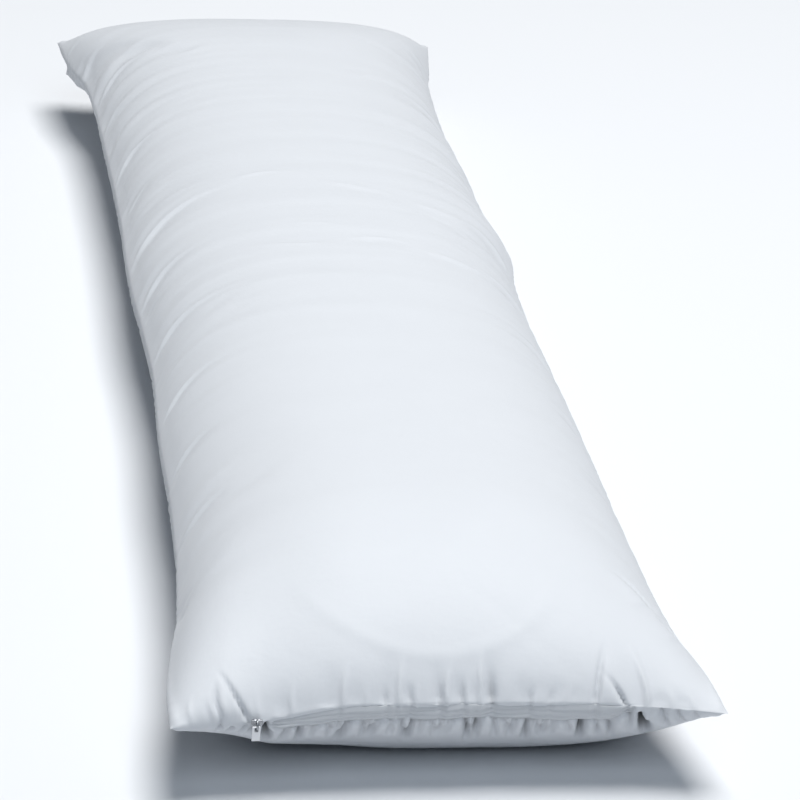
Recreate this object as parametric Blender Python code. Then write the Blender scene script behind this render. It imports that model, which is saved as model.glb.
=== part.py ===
"""Body pillow: one long filled cushion with a zip along one short end.

Two panels are sewn together round their edge and filled. The pillow lies on its back, the zip end
at -Y, its length along Y and its crown up. Sizes are in metres.
"""
import math
from collections import namedtuple

import bmesh
import bpy
from mathutils import Matrix, Vector
from mathutils.bvhtree import BVHTree

# Outline of the filled pillow, corner to corner, and how its seams are drawn in.
HALF_LENGTH = 0.700
CORNER_HALF_WIDTH = 0.193
ZIP_END_DRAW_IN = 0.011
FAR_END_DRAW_IN = 0.014

# Heights: the seam runs round the pillow between the crown and the floor.
SEAM_HEIGHT = 0.067
ZIP_LEFT_DROOP = 0.010
ZIP_RIGHT_DROOP = 0.005
FAR_CORNER_DROOP = 0.001
CROWN = 0.079
BELLY = 0.100
FLOOR_EASE = 0.006

# The patch that lies flat on the floor: half its share across, half its length, and how the
# belly clears the floor round it.
PATCH_ACROSS = 0.525
PATCH_HALF_LENGTH = 0.585
PATCH_STEP = 0.0006
PATCH_SLOPE = 0.03

# How full the pillow is across and towards its ends.
ACROSS_POWER = 0.58
END_POWER = 0.58
ZIP_END_REACH = 0.185
FAR_END_REACH = 0.180
FAR_CORNER_REACH = 0.092
BELLY_END_REACH = 0.182
BELLY_RIGHT_REACH = 0.110

# Mesh rows: close together towards both end seams, even between them.
COLUMNS = 36
END_ROWS = (0.0, 0.002, 0.006, 0.012, 0.020, 0.030, 0.042, 0.056, 0.072)
MIDDLE_ROWS = 78

# Half widths at stations along the length, from the zip end (-1) to the far end (1).
Station = namedtuple("Station", "along left right")
SIDE_SEAM = (
    Station(-1.00, 0.1930, 0.1960),
    Station(-0.94, 0.1890, 0.1890),
    Station(-0.88, 0.1830, 0.1800),
    Station(-0.82, 0.1760, 0.1750),
    Station(-0.72, 0.1700, 0.1725),
    Station(-0.55, 0.1665, 0.1715),
    Station(-0.38, 0.1650, 0.1715),
    Station(-0.20, 0.1600, 0.1705),
    Station(-0.05, 0.1630, 0.1695),
    Station(0.05, 0.1655, 0.1712),
    Station(0.15, 0.1645, 0.1782),
    Station(0.26, 0.1630, 0.1722),
    Station(0.42, 0.1630, 0.1705),
    Station(0.58, 0.1650, 0.1668),
    Station(0.72, 0.1675, 0.1690),
    Station(0.80, 0.1715, 0.1722),
    Station(0.87, 0.1805, 0.1790),
    Station(0.94, 0.1885, 0.1860),
    Station(1.00, 0.1930, 0.1935),
)

# Soft folds, each a ridge with a trough on its zip side, laid between two points of the plan.
Fold = namedtuple("Fold", "x0 y0 x1 y1 bow height width")
SIDE_FOLDS = (
    Fold(-0.190, 0.655, -0.165, 0.672, 0.004, 0.0030, 0.009),
    Fold(-0.190, 0.555, -0.155, 0.585, 0.004, 0.0030, 0.010),
    Fold(-0.185, 0.472, -0.120, 0.500, 0.010, 0.0040, 0.011),
    Fold(-0.180, 0.388, -0.105, 0.398, 0.012, 0.0032, 0.011),
    Fold(-0.175, 0.260, -0.110, 0.305, 0.010, 0.0036, 0.012),
    Fold(-0.175, 0.180, -0.120, 0.212, 0.006, 0.0026, 0.010),
    Fold(-0.175, 0.066, -0.080, 0.116, 0.016, 0.0050, 0.013),
    Fold(-0.172, -0.022, -0.110, 0.008, 0.008, 0.0042, 0.012),
    Fold(-0.172, -0.158, -0.088, -0.114, 0.012, 0.0046, 0.012),
    Fold(-0.175, -0.258, -0.115, -0.228, 0.008, 0.0050, 0.012),
    Fold(-0.178, -0.358, -0.125, -0.338, 0.006, 0.0044, 0.012),
    Fold(-0.178, -0.468, -0.130, -0.449, 0.006, 0.0036, 0.011),
    Fold(0.180, 0.350, 0.130, 0.372, 0.006, 0.0028, 0.012),
    Fold(0.182, 0.020, 0.120, 0.046, 0.008, 0.0034, 0.013),
    Fold(0.178, -0.180, 0.130, -0.160, 0.006, 0.0026, 0.012),
    Fold(0.178, -0.420, 0.130, -0.405, 0.006, 0.0026, 0.012),
)
CROWN_FOLDS = (
    Fold(-0.075, 0.138, 0.130, 0.050, 0.004, 0.0020, 0.015),
    Fold(-0.065, -0.072, 0.050, -0.028, 0.010, 0.0018, 0.014),
    Fold(0.046, -0.028, 0.140, -0.052, 0.004, 0.0022, 0.013),
    Fold(-0.045, 0.020, 0.012, -0.020, 0.004, 0.0012, 0.012),
)
ZIP_END_FOLDS = (
    Fold(-0.146, -0.704, -0.156, -0.672, 0.000, 0.0022, 0.008),
    Fold(-0.112, -0.700, -0.104, -0.672, 0.000, 0.0014, 0.009),
    Fold(-0.077, -0.700, -0.068, -0.664, 0.000, 0.0018, 0.009),
    Fold(-0.038, -0.700, -0.030, -0.652, 0.000, 0.0022, 0.009),
    Fold(0.000, -0.700, 0.006, -0.664, 0.000, 0.0018, 0.009),
    Fold(0.024, -0.700, 0.030, -0.648, 0.000, 0.0026, 0.008),
    Fold(0.054, -0.700, 0.060, -0.672, 0.000, 0.0016, 0.009),
    Fold(0.106, -0.700, 0.112, -0.648, 0.000, 0.0034, 0.009),
    Fold(0.138, -0.702, 0.124, -0.650, 0.000, 0.0036, 0.010),
    Fold(0.168, -0.704, 0.158, -0.676, 0.000, 0.0020, 0.009),
)
BELLY_FOLDS = (
    Fold(-0.108, -0.668, -0.104, -0.625, 0.000, 0.0020, 0.009),
    Fold(-0.072, -0.664, -0.070, -0.612, 0.000, 0.0026, 0.010),
    Fold(-0.030, -0.664, -0.026, -0.606, 0.000, 0.0024, 0.010),
    Fold(0.014, -0.664, 0.012, -0.600, 0.000, 0.0032, 0.010),
    Fold(0.060, -0.664, 0.056, -0.610, 0.000, 0.0024, 0.010),
    Fold(0.098, -0.668, 0.096, -0.622, 0.000, 0.0026, 0.009),
)

# Zip trim on the short end at -Y.
FLAP_FIRST_COLUMN = 8
FLAP_LAST_COLUMN = 29
FLAP_GAP = 0.0004
FLAP_THICKNESS = 0.0014
SLIDER_X = -0.1310
SLIDER_HEIGHT = 0.0590
SLIDER_SIZE = (0.0085, 0.0040, 0.0090)
PULL_WIDTH = 0.0066
PULL_LENGTH = 0.0155
PULL_THICKNESS = 0.0012
PULL_SLOT = (0.0034, 0.0050)
TRIM_GAP = 0.0005


def clear_scene():
    for obj in list(bpy.data.objects):
        bpy.data.objects.remove(obj, do_unlink=True)


def material(name, colour, roughness, metallic=0.0):
    made = bpy.data.materials.new(name)
    made.use_nodes = True
    shader = made.node_tree.nodes["Principled BSDF"]
    shader.inputs["Base Color"].default_value = (*colour, 1.0)
    shader.inputs["Roughness"].default_value = roughness
    shader.inputs["Metallic"].default_value = metallic
    return made


def add_object(name, bm, finish, smooth=True):
    mesh = bpy.data.meshes.new(name)
    bm.to_mesh(mesh)
    bm.free()
    mesh.materials.append(finish)
    for face in mesh.polygons:
        face.use_smooth = smooth
    made = bpy.data.objects.new(name, mesh)
    bpy.context.collection.objects.link(made)
    return made


def ease(value):
    value = min(max(value, 0.0), 1.0)
    return value * value * (3.0 - 2.0 * value)


def side_seam(along, side):
    """Half width at a station, on the left or right: a smooth curve through the table."""
    place = 0
    while place < len(SIDE_SEAM) - 2 and SIDE_SEAM[place + 1].along < along:
        place += 1
    rows = [SIDE_SEAM[min(max(place + k, 0), len(SIDE_SEAM) - 1)] for k in (-1, 0, 1, 2)]
    value = [row.left if side < 0 else row.right for row in rows]
    span = rows[2].along - rows[1].along
    part = (along - rows[1].along) / span
    start = span * (value[2] - value[0]) / max(rows[2].along - rows[0].along, 1e-6)
    stop = span * (value[3] - value[1]) / max(rows[3].along - rows[1].along, 1e-6)
    return (
        (1 + 2 * part) * (1 - part) ** 2 * value[1]
        + part * (1 - part) ** 2 * start
        + part * part * (3 - 2 * part) * value[2]
        + part * part * (part - 1) * stop
    )


def plan_point(across, along):
    """Where a point of the cloth lies in plan; across and along run from -1 to 1."""
    x = across * side_seam(along, across)
    draw_in = ZIP_END_DRAW_IN if along < 0.0 else FAR_END_DRAW_IN
    end = HALF_LENGTH - draw_in * (1.0 - across**4)
    return x, along * end, end


def fullness(across, y, end, reach):
    """Share of the full depth of a panel: nothing at the seams, all of it in the middle."""
    over = max(0.0, 1.0 - across * across) ** ACROSS_POWER
    inward = min((end - abs(y)) / reach, 1.0)
    return over * max(0.0, 1.0 - (1.0 - inward) ** 2) ** END_POWER


def seam_height(across, along):
    zip_droop = ZIP_LEFT_DROOP if across < 0.0 else ZIP_RIGHT_DROOP
    droop = zip_droop if along < 0.0 else FAR_CORNER_DROOP
    return SEAM_HEIGHT - droop * across**2 * along**4


def floor_clearance(across, y):
    """Nothing on the flat patch, then a little more with the distance from it."""
    beside = max(abs(across) - PATCH_ACROSS, 0.0) * CORNER_HALF_WIDTH
    beyond = max(abs(y) - PATCH_HALF_LENGTH, 0.0)
    away = math.hypot(beside, beyond)
    return PATCH_STEP + PATCH_SLOPE * away if away > 0.0 else 0.0


def rest_on_floor(z, clearance):
    """The belly flattened where it meets the floor."""
    z -= clearance
    if z <= -FLOOR_EASE:
        z = 0.0
    elif z < FLOOR_EASE:
        z = (z + FLOOR_EASE) ** 2 / (4.0 * FLOOR_EASE)
    return z + clearance


def top_point(across, along):
    x, y, end = plan_point(across, along)
    far = FAR_END_REACH + (FAR_CORNER_REACH - FAR_END_REACH) * across**2
    reach = ZIP_END_REACH if along < 0.0 else far
    rise = CROWN * fullness(across, y, end, reach)
    return Vector((x, y, seam_height(across, along) + rise))


def belly_point(across, along):
    x, y, end = plan_point(across, along)
    share = ease(across) if along < 0.0 else 0.0
    reach = BELLY_END_REACH + (BELLY_RIGHT_REACH - BELLY_END_REACH) * share
    drop = BELLY * fullness(across, y, end, reach)
    z = seam_height(across, along) - drop
    return Vector((x, y, rest_on_floor(z, floor_clearance(across, y))))


def row_stations():
    """Stations along the length, as distances from the zip end's corners, then from -1 to 1."""
    inner = END_ROWS[-1]
    step = (2.0 * HALF_LENGTH - 2.0 * inner) / MIDDLE_ROWS
    middle = [inner + step * k for k in range(1, MIDDLE_ROWS)]
    far = [2.0 * HALF_LENGTH - d for d in reversed(END_ROWS)]
    return [d / HALF_LENGTH - 1.0 for d in (*END_ROWS, *middle, *far)]


def column_stations():
    """Stations across, a little closer towards the side seams."""
    made = []
    for k in range(COLUMNS + 1):
        even = 2.0 * k / COLUMNS - 1.0
        made.append(0.62 * even + 0.38 * math.sin(0.5 * math.pi * even))
    return made


def fold_offset(fold, x, y):
    """How far one fold lifts or sinks the cloth at a place in plan."""
    dx, dy = fold.x1 - fold.x0, fold.y1 - fold.y0
    length = math.hypot(dx, dy)
    along = ((x - fold.x0) * dx + (y - fold.y0) * dy) / length
    beside = ((y - fold.y0) * dx - (x - fold.x0) * dy) / length
    if dx < 0:
        beside = -beside
    part = along / length
    beside -= 4.0 * fold.bow * part * (1.0 - part) if 0.0 < part < 1.0 else 0.0
    past = max(-along, along - length, 0.0)
    fade = math.exp(-((past / (1.2 * fold.width)) ** 2))
    tapered = fade * (0.28 + 0.72 * ease(2.5 * part)) * (1.0 - 0.45 * ease(part))
    ridge = math.exp(-((beside / fold.width) ** 2))
    trough = 0.8 * math.exp(-((beside / fold.width + 1.5) ** 2))
    return fold.height * tapered * (ridge - trough)


def pillow_grid(bm):
    """Two panels of points that share the seam's points."""
    rows, columns = row_stations(), column_stations()
    top, belly = [], []
    for i, along in enumerate(rows):
        top.append([bm.verts.new(top_point(across, along)) for across in columns])
        line = []
        for j, across in enumerate(columns):
            on_seam = i in (0, len(rows) - 1) or j in (0, len(columns) - 1)
            line.append(top[i][j] if on_seam else bm.verts.new(belly_point(across, along)))
        belly.append(line)
    for i in range(len(rows) - 1):
        for j in range(len(columns) - 1):
            bm.faces.new((top[i][j], top[i][j + 1], top[i + 1][j + 1], top[i + 1][j]))
            bm.faces.new((belly[i][j], belly[i + 1][j], belly[i + 1][j + 1], belly[i][j + 1]))
    return top, belly


def fold_cloth(bm, top):
    """Soft folds: round the sides on both panels, the rest on one panel each."""
    bm.normal_update()
    upper = {point for line in top for point in line}
    moves = []
    for point in bm.verts:
        x, y, z = point.co
        lift = sum(fold_offset(fold, x, y) for fold in SIDE_FOLDS)
        if point in upper:
            lift += sum(fold_offset(fold, x, y) for fold in (*CROWN_FOLDS, *ZIP_END_FOLDS))
        else:
            lift += sum(fold_offset(fold, x, y) for fold in BELLY_FOLDS)
            lift *= ease(z / 0.03)
        moves.append((point, point.normal * lift))
    for point, move in moves:
        point.co += move
        point.co.z = max(point.co.z, 0.0)


def build_pillow(finish):
    bm = bmesh.new()
    top, belly = pillow_grid(bm)
    fold_cloth(bm, top)
    bm.normal_update()
    flap = [
        [(line[j].co.copy(), line[j].normal.copy()) for line in (belly[0], belly[1])]
        for j in range(FLAP_FIRST_COLUMN, FLAP_LAST_COLUMN + 1)
    ]
    surface = BVHTree.FromBMesh(bm)
    flat = [
        edge
        for edge in bm.edges
        if len(edge.link_faces) == 2
        and all(abs(point.co.z) < 1e-9 for face in edge.link_faces for point in face.verts)
    ]
    bmesh.ops.dissolve_edges(bm, edges=flat, use_verts=True)
    return add_object("pillow", bm, finish), flap, surface


def build_flap(strip, finish):
    """The plain strip over the zip: a thin band that follows the end seam."""
    bm = bmesh.new()
    depths = (FLAP_GAP, FLAP_GAP + FLAP_THICKNESS)
    back, front = [
        [[bm.verts.new(place + out * depth) for place, out in pair] for pair in strip]
        for depth in depths
    ]
    last = len(strip) - 1
    for k in range(last):
        a, b = back[k], back[k + 1]
        c, d = front[k], front[k + 1]
        bm.faces.new((a[0], b[0], b[1], a[1]))
        bm.faces.new((c[0], c[1], d[1], d[0]))
        bm.faces.new((a[0], c[0], d[0], b[0]))
        bm.faces.new((a[1], b[1], d[1], c[1]))
    bm.faces.new((back[0][0], back[0][1], front[0][1], front[0][0]))
    bm.faces.new((back[last][0], front[last][0], front[last][1], back[last][1]))
    bmesh.ops.recalc_face_normals(bm, faces=bm.faces[:])
    return add_object("zip_flap", bm, finish)


def wall_frame(surface, x, z):
    """Place on the zip end at a height, with axes across the wall, out of it and up it."""
    place, out, _, _ = surface.ray_cast(Vector((x, -1.0, z)), Vector((0.0, 1.0, 0.0)))
    right = Vector((0.0, 0.0, 1.0)).cross(out).normalized() * -1.0
    up = out.cross(right).normalized() * -1.0
    turn = Matrix((right, out, up)).transposed().to_4x4()
    turn.translation = place
    return turn


def rounded_outline(width, height, radius, steps=4):
    """Points round a rectangle with rounded corners, anticlockwise from the lower right."""
    made = []
    for quarter, (sx, sz) in enumerate(((1, -1), (1, 1), (-1, 1), (-1, -1))):
        for k in range(steps + 1):
            angle = math.pi * (0.5 * (quarter - 1) + 0.5 * k / steps)
            x = sx * (0.5 * width - radius) + radius * math.cos(angle)
            z = sz * (0.5 * height - radius) + radius * math.sin(angle)
            made.append((x, z))
    return made


def ring_plate(bm, outer, inner, y0, y1):
    """A flat plate between two depths with a slot through it; equal numbers of points."""
    loops = []
    for y in (y0, y1):
        loops.append([bm.verts.new((x, y, z)) for x, z in outer])
        loops.append([bm.verts.new((x, y, z)) for x, z in inner])
    low_out, low_in, high_out, high_in = loops
    count = len(outer)
    for k in range(count):
        n = (k + 1) % count
        bm.faces.new((low_out[k], low_out[n], low_in[n], low_in[k]))
        bm.faces.new((high_out[k], high_in[k], high_in[n], high_out[n]))
        bm.faces.new((low_out[k], high_out[k], high_out[n], low_out[n]))
        bm.faces.new((low_in[k], low_in[n], high_in[n], high_in[k]))
    bmesh.ops.recalc_face_normals(bm, faces=bm.faces[:])


def build_slider(surface, finish):
    """The slider's body: a small block with a waist, standing off the zip end."""
    width, depth, height = SLIDER_SIZE
    bm = bmesh.new()
    bmesh.ops.create_cube(bm, size=1.0)
    for point in bm.verts:
        narrow = 0.62 if point.co.z < 0.0 else 1.0
        point.co.x *= width * narrow
        point.co.y = (point.co.y + 0.5) * depth
        point.co.z *= height
    bmesh.ops.bevel(bm, geom=bm.edges[:], offset=0.0009, segments=2, affect="EDGES", profile=0.5)
    frame = wall_frame(surface, SLIDER_X, SLIDER_HEIGHT)
    lift = Matrix.Translation((0.0, TRIM_GAP, 0.0))
    bmesh.ops.transform(bm, matrix=frame @ lift, verts=bm.verts[:])
    front = min(point.co.y for point in bm.verts)
    return add_object("zip_slider", bm, finish), front


def build_pull(front, finish):
    """The pull tab: a thin plate with a slot, hanging straight down before the slider."""
    bm = bmesh.new()
    outer = rounded_outline(PULL_WIDTH, PULL_LENGTH, 0.0016)
    shift = 0.5 * PULL_LENGTH - 0.0012 - 0.5 * PULL_SLOT[1]
    inner = [(x, z + shift) for x, z in rounded_outline(*PULL_SLOT, 0.0010)]
    ring_plate(bm, outer, inner, -PULL_THICKNESS, 0.0)
    hung = Vector((SLIDER_X, front - TRIM_GAP, SLIDER_HEIGHT - 0.5 * PULL_LENGTH + 0.0020))
    lean = Matrix.Translation(hung) @ Matrix.Rotation(-0.06, 4, "Y")
    bmesh.ops.transform(bm, matrix=lean, verts=bm.verts[:])
    return add_object("zip_pull", bm, finish)


def centre(objects):
    """Everything moved so that the middle of the footprint stands on the origin."""
    points = [point.co for obj in objects for point in obj.data.vertices]
    middle = [0.5 * (min(p[k] for p in points) + max(p[k] for p in points)) for k in (0, 1)]
    for obj in objects:
        obj.data.transform(Matrix.Translation((-middle[0], -middle[1], 0.0)))


def main():
    clear_scene()
    cloth = material("pillow_cloth", (0.86, 0.88, 0.91), 0.55)
    flap_cloth = material("flap_cloth", (0.80, 0.82, 0.85), 0.6)
    slider_metal = material("slider_metal", (0.55, 0.56, 0.58), 0.35, 1.0)
    pull_metal = material("pull_metal", (0.80, 0.81, 0.82), 0.35, 1.0)
    pillow, strip, surface = build_pillow(cloth)
    flap = build_flap(strip, flap_cloth)
    slider, front = build_slider(surface, slider_metal)
    pull = build_pull(front, pull_metal)
    centre((pillow, flap, slider, pull))


main()
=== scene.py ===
"""Body pillow: how the filled casing, its covered zip and the studio round it look."""
import math
from collections import namedtuple

import bmesh
import bpy
import numpy as np
from bpy.props import FloatProperty, FloatVectorProperty, IntProperty, PointerProperty
from mathutils import Matrix, Vector


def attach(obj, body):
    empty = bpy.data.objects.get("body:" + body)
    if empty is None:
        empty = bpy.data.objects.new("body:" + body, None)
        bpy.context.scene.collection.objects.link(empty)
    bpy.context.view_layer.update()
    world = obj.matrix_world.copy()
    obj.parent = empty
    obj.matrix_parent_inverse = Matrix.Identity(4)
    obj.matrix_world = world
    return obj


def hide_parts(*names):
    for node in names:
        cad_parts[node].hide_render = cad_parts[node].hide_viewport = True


bl_info = {
    "name": "Body Pillow",
    "version": (1, 0, 0),
    "blender": (4, 5, 0),
    "location": "View3D > Sidebar > Pillow",
    "description": "Builds a filled body pillow with a covered zip along one short end",
    "category": "Object",
}

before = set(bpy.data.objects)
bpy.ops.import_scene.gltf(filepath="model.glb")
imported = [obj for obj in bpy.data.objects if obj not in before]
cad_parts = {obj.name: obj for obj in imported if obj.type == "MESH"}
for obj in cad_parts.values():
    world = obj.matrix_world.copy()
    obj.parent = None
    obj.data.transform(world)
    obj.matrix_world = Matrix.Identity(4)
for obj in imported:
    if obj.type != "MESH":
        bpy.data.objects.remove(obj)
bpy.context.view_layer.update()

# Half widths at stations along the length, from the zip end (-1) to the far end (1).
Station = namedtuple("Station", "along left right")
SIDE_SEAM = (
    Station(-1.00, 0.1912, 0.1960),
    Station(-0.94, 0.1890, 0.1890),
    Station(-0.88, 0.1830, 0.1800),
    Station(-0.82, 0.1760, 0.1750),
    Station(-0.72, 0.1688, 0.1725),
    Station(-0.55, 0.1640, 0.1715),
    Station(-0.38, 0.1630, 0.1715),
    Station(-0.20, 0.1588, 0.1705),
    Station(-0.05, 0.1610, 0.1695),
    Station(0.05, 0.1632, 0.1712),
    Station(0.15, 0.1630, 0.1782),
    Station(0.26, 0.1618, 0.1722),
    Station(0.42, 0.1620, 0.1705),
    Station(0.58, 0.1640, 0.1668),
    Station(0.72, 0.1670, 0.1690),
    Station(0.80, 0.1715, 0.1722),
    Station(0.87, 0.1830, 0.1790),
    Station(0.94, 0.1900, 0.1860),
    Station(1.00, 0.1930, 0.1935),
)
# The middle line of the filled shape, which lies a little to the left.
OFF_MIDDLE = -0.0015

# Creases on the cut cloth, in millimetres from the panel's middle: each runs from 0 through 1 to 2
# as a narrow crest with a hollow on its left and on its right, all `wide` apart.
Crease = namedtuple("Crease", "x0 y0 x1 y1 x2 y2 crest wide left right")
SIDE_CREASES = (
    Crease(-196, 694, -186, 704, -176, 720, -1.2, 4.0, -0.4, -0.4),
    Crease(-198, 640, -180, 648, -158, 648, 1.0, 3.6, 0.6, 0.8),
    Crease(-198, 578, -175, 590, -150, 594, 0.9, 3.5, 1.9, 2.5),
    Crease(-200, 480, -156, 512, -100, 514, 1.1, 4.0, 1.9, 3.0),
    Crease(-200, 405, -157, 430, -90, 396, 0.9, 4.0, 1.5, 2.5),
    Crease(-200, 274, -161, 303, -118, 305, 1.1, 3.5, 1.5, 3.0),
    Crease(-200, 176, -170, 199, -148, 208, 0.7, 3.5, 1.0, 2.1),
    Crease(-180, 146, -140, 140, -86, 142, 0.5, 4.0, 0.8, 1.1),
    Crease(-165, 176, -121, 171, -80, 156, 0.4, 4.0, 0.8, 1.0),
    Crease(-200, 62, -142, 103, -70, 115, 1.2, 4.0, 1.9, 3.6),
    Crease(-200, -28, -157, 0, -104, 8, 1.1, 3.7, 1.9, 3.2),
    Crease(-198, -48, -176, -37, -150, -36, 0.4, 3.5, 0.8, 1.3),
    Crease(-200, -136, -150, -108, -70, -104, 1.2, 4.0, 1.1, 2.9),
    Crease(-200, -268, -160, -237, -112, -229, 1.1, 3.5, 1.1, 2.5),
    Crease(-200, -362, -163, -343, -130, -340, 0.9, 3.5, 0.8, 2.1),
    Crease(-200, -474, -164, -456, -124, -449, 0.8, 3.7, 1.2, 1.9),
    Crease(-198, -590, -183, -576, -158, -566, 0.6, 3.2, 1.9, 1.3),
    Crease(200, 604, 178, 590, 150, 596, 0.4, 5.2, 1.8, 1.2),
    Crease(200, 508, 168, 526, 139, 508, -1.2, 4.0, -0.5, -0.5),
    Crease(200, 372, 165, 398, 120, 404, 0.7, 5.7, 2.3, 1.2),
    Crease(200, 232, 168, 250, 124, 246, 0.6, 5.7, 2.1, 1.0),
    Crease(200, 34, 160, 66, 118, 72, 0.8, 5.7, 2.9, 1.4),
    Crease(200, -74, 158, -46, 110, -44, 0.7, 5.7, 2.6, 1.2),
    Crease(200, -196, 164, -168, 118, -160, 0.7, 5.4, 2.6, 1.2),
    Crease(200, -322, 166, -300, 130, -300, 0.6, 5.4, 2.3, 1.2),
    Crease(200, -436, 168, -420, 136, -414, 0.6, 5.2, 2.1, 1.2),
)
CROWN_CREASES = (
    Crease(-80, 114, -51, 132, -10, 116, 0.7, 4.5, 0.2, 0.5),
    Crease(-12, 112, 32, 93, 72, 77, 0.9, 4.0, 0.2, 0.6),
    Crease(60, 80, 110, 70, 172, 84, 0.6, 6.5, 0.3, 0.9),
    Crease(-88, -18, -46, -40, 4, -38, 0.7, 4.5, 0.2, 0.5),
    Crease(0, -40, 34, -26, 72, -38, 0.9, 4.5, 0.2, 0.7),
    Crease(64, -36, 100, -46, 176, -50, 0.5, 6.5, 0.3, 0.9),
    Crease(-44, 8, -14, 4, 14, -4, 0.5, 4.0, 0.1, 0.4),
    Crease(80, 168, 90, 170, 100, 170, -0.5, 2.5, 0.0, 0.0),
    Crease(-118, -460, -104, -472, -90, -484, -0.5, 2.2, -0.2, 0.0),
)
# The faint edge of the fuller middle, a shallow U towards the zip.
PadEdge = namedtuple("PadEdge", "x y half_wide half_long height wide")
PAD_EDGE = PadEdge(-0.002, -0.600, 0.090, 0.090, 0.00045, 0.0065)
# The pleats over the zip, with the upper parts of its two end tucks. The last two rows are the
# small folds near the right corner.
ZIP_END_CREASES = (
    Crease(-184, -724, -182, -712, -178, -700, 0.7, 3.0, 0.5, 0.3),
    Crease(-171, -726, -171, -718, -168, -706, -1.0, 4.2, -0.5, -0.5),
    Crease(-164, -726, -163, -712, -158, -692, -3.6, 4.2, -0.4, -0.9),
    Crease(-157, -727, -154, -718, -150, -706, -1.2, 4.0, -0.5, -0.5),
    Crease(-149, -728, -146, -720, -142, -708, -1.2, 4.0, -0.5, -0.5),
    Crease(-141, -730, -150, -706, -156, -684, -4.0, 3.4, -0.3, -0.9),
    Crease(-136, -725, -134, -712, -131, -694, 0.7, 3.6, 0.4, 0.4),
    Crease(-112, -725, -110, -714, -106, -698, 1.0, 3.2, 1.0, 0.3),
    Crease(-76, -725, -72, -708, -67, -690, 1.5, 4.2, 1.2, 0.4),
    Crease(-60, -725, -58, -717, -56, -708, 0.7, 3.0, 0.3, 0.3),
    Crease(-36, -725, -33, -706, -28, -684, 1.7, 3.8, 1.4, 0.4),
    Crease(-24, -725, -23, -716, -21, -706, 0.8, 2.8, 0.7, 0.3),
    Crease(-2, -725, 0, -708, 5, -690, 1.6, 3.6, 1.3, 0.8),
    Crease(13, -725, 13, -713, 15, -700, 0.9, 3.2, 1.1, 0.9),
    Crease(22, -727, 24, -702, 26, -682, 1.6, 3.4, 0.8, 1.8),
    Crease(60, -725, 60, -714, 62, -700, 0.9, 3.6, 1.4, 0.6),
    Crease(84, -725, 85, -717, 88, -706, 0.6, 3.4, 0.5, 0.4),
    Crease(104, -731, 108, -702, 114, -672, -3.6, 3.4, 0.2, -1.2),
    Crease(135, -742, 122, -716, 109, -698, -5.0, 2.8, -0.8, -0.4),
    Crease(142, -725, 139, -700, 128, -664, 2.4, 4.6, 1.3, 0.8),
    Crease(160, -725, 159, -716, 156, -706, 1.0, 4.0, 0.6, 0.6),
    Crease(176, -724, 174, -716, 170, -708, 0.8, 3.0, 0.5, 0.4),
    Crease(-46, -727, -45, -719, -44, -708, -1.8, 3.6, -0.3, -0.3),
    Crease(-27, -727, -27, -719, -26, -706, -2.0, 3.6, -0.3, -0.3),
    Crease(-7, -727, -6, -716, -4, -698, -2.6, 4.4, -0.4, -0.4),
    Crease(9, -727, 10, -717, 12, -700, -2.6, 4.4, -0.3, -0.3),
    Crease(31, -727, 31, -714, 32, -690, -3.2, 6.0, -0.4, -0.4),
    Crease(57, -727, 59, -718, 62, -704, -2.6, 4.2, -0.3, -0.3),
    Crease(72, -727, 73, -720, 75, -710, -1.6, 3.6, -0.3, -0.3),
    Crease(160, -618, 147, -602, 128, -588, -3.2, 4.4, -0.9, 0.4),
    Crease(180, -645, 171, -632, 163, -621, -4.2, 5.4, -0.8, 0.3),
)
FAR_END_CREASES = (
    Crease(-150, 726, -146, 706, -140, 684, 0.9, 4.0, 0.6, 0.8),
    Crease(-112, 726, -110, 710, -104, 690, 1.0, 4.5, 0.8, 0.6),
    Crease(-70, 726, -68, 712, -64, 694, 0.9, 4.2, 0.6, 0.8),
    Crease(-24, 726, -22, 708, -20, 684, 1.1, 4.5, 0.8, 0.6),
    Crease(14, 726, 16, 712, 17, 698, 0.8, 4.0, 0.6, 0.6),
    Crease(62, 726, 58, 708, 52, 686, 1.1, 4.5, 0.6, 0.9),
    Crease(104, 726, 100, 710, 96, 694, 0.9, 4.0, 0.8, 0.6),
    Crease(146, 726, 142, 706, 134, 684, 1.0, 4.0, 0.6, 0.9),
)
# The lower parts of the two end tucks and the short folds out to the corners. The last row is the
# ear at the far left corner.
BELLY_CREASES = (
    Crease(-131.5, -724, -131, -715, -129, -700, -16.0, 3.4, -0.3, -0.2),
    Crease(-130, -714, -128.5, -703, -126, -682, -34.0, 5.6, -0.4, -0.2),
    Crease(137.5, -720, 139, -711, 141, -700, -16.0, 3.4, -0.5, -0.5),
    Crease(140, -711, 141.5, -700, 143, -670, -38.0, 6.4, -0.4, -0.6),
    Crease(128, -724, 132, -714, 134, -704, -2.0, 3.6, -0.8, -0.4),
    Crease(153, -724, 156, -712, 160, -698, -4.5, 4.0, -0.9, -0.7),
    Crease(164, -724, 168, -713, 173, -702, -4.5, 4.0, -0.9, -0.7),
    Crease(176, -724, 179, -715, 183, -706, -3.6, 4.0, -0.6, -0.5),
    Crease(-138, -726, -141, -717, -144, -706, -6.0, 3.8, -0.2, -0.3),
    Crease(-145, -726, -148, -717, -152, -706, -6.0, 3.8, -0.2, -0.3),
    Crease(-154, -726, -158, -718, -161, -708, -6.0, 4.0, -0.2, -0.3),
    Crease(-163, -726, -166, -719, -169, -710, -6.0, 4.0, -0.2, -0.2),
    Crease(-174, -726, -176, -720, -178, -712, -1.2, 4.0, -0.4, -0.4),
    Crease(-193, 634, -189, 616, -183, 578, 5.6, 17.0, 0.0, 0.0),
)
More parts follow.
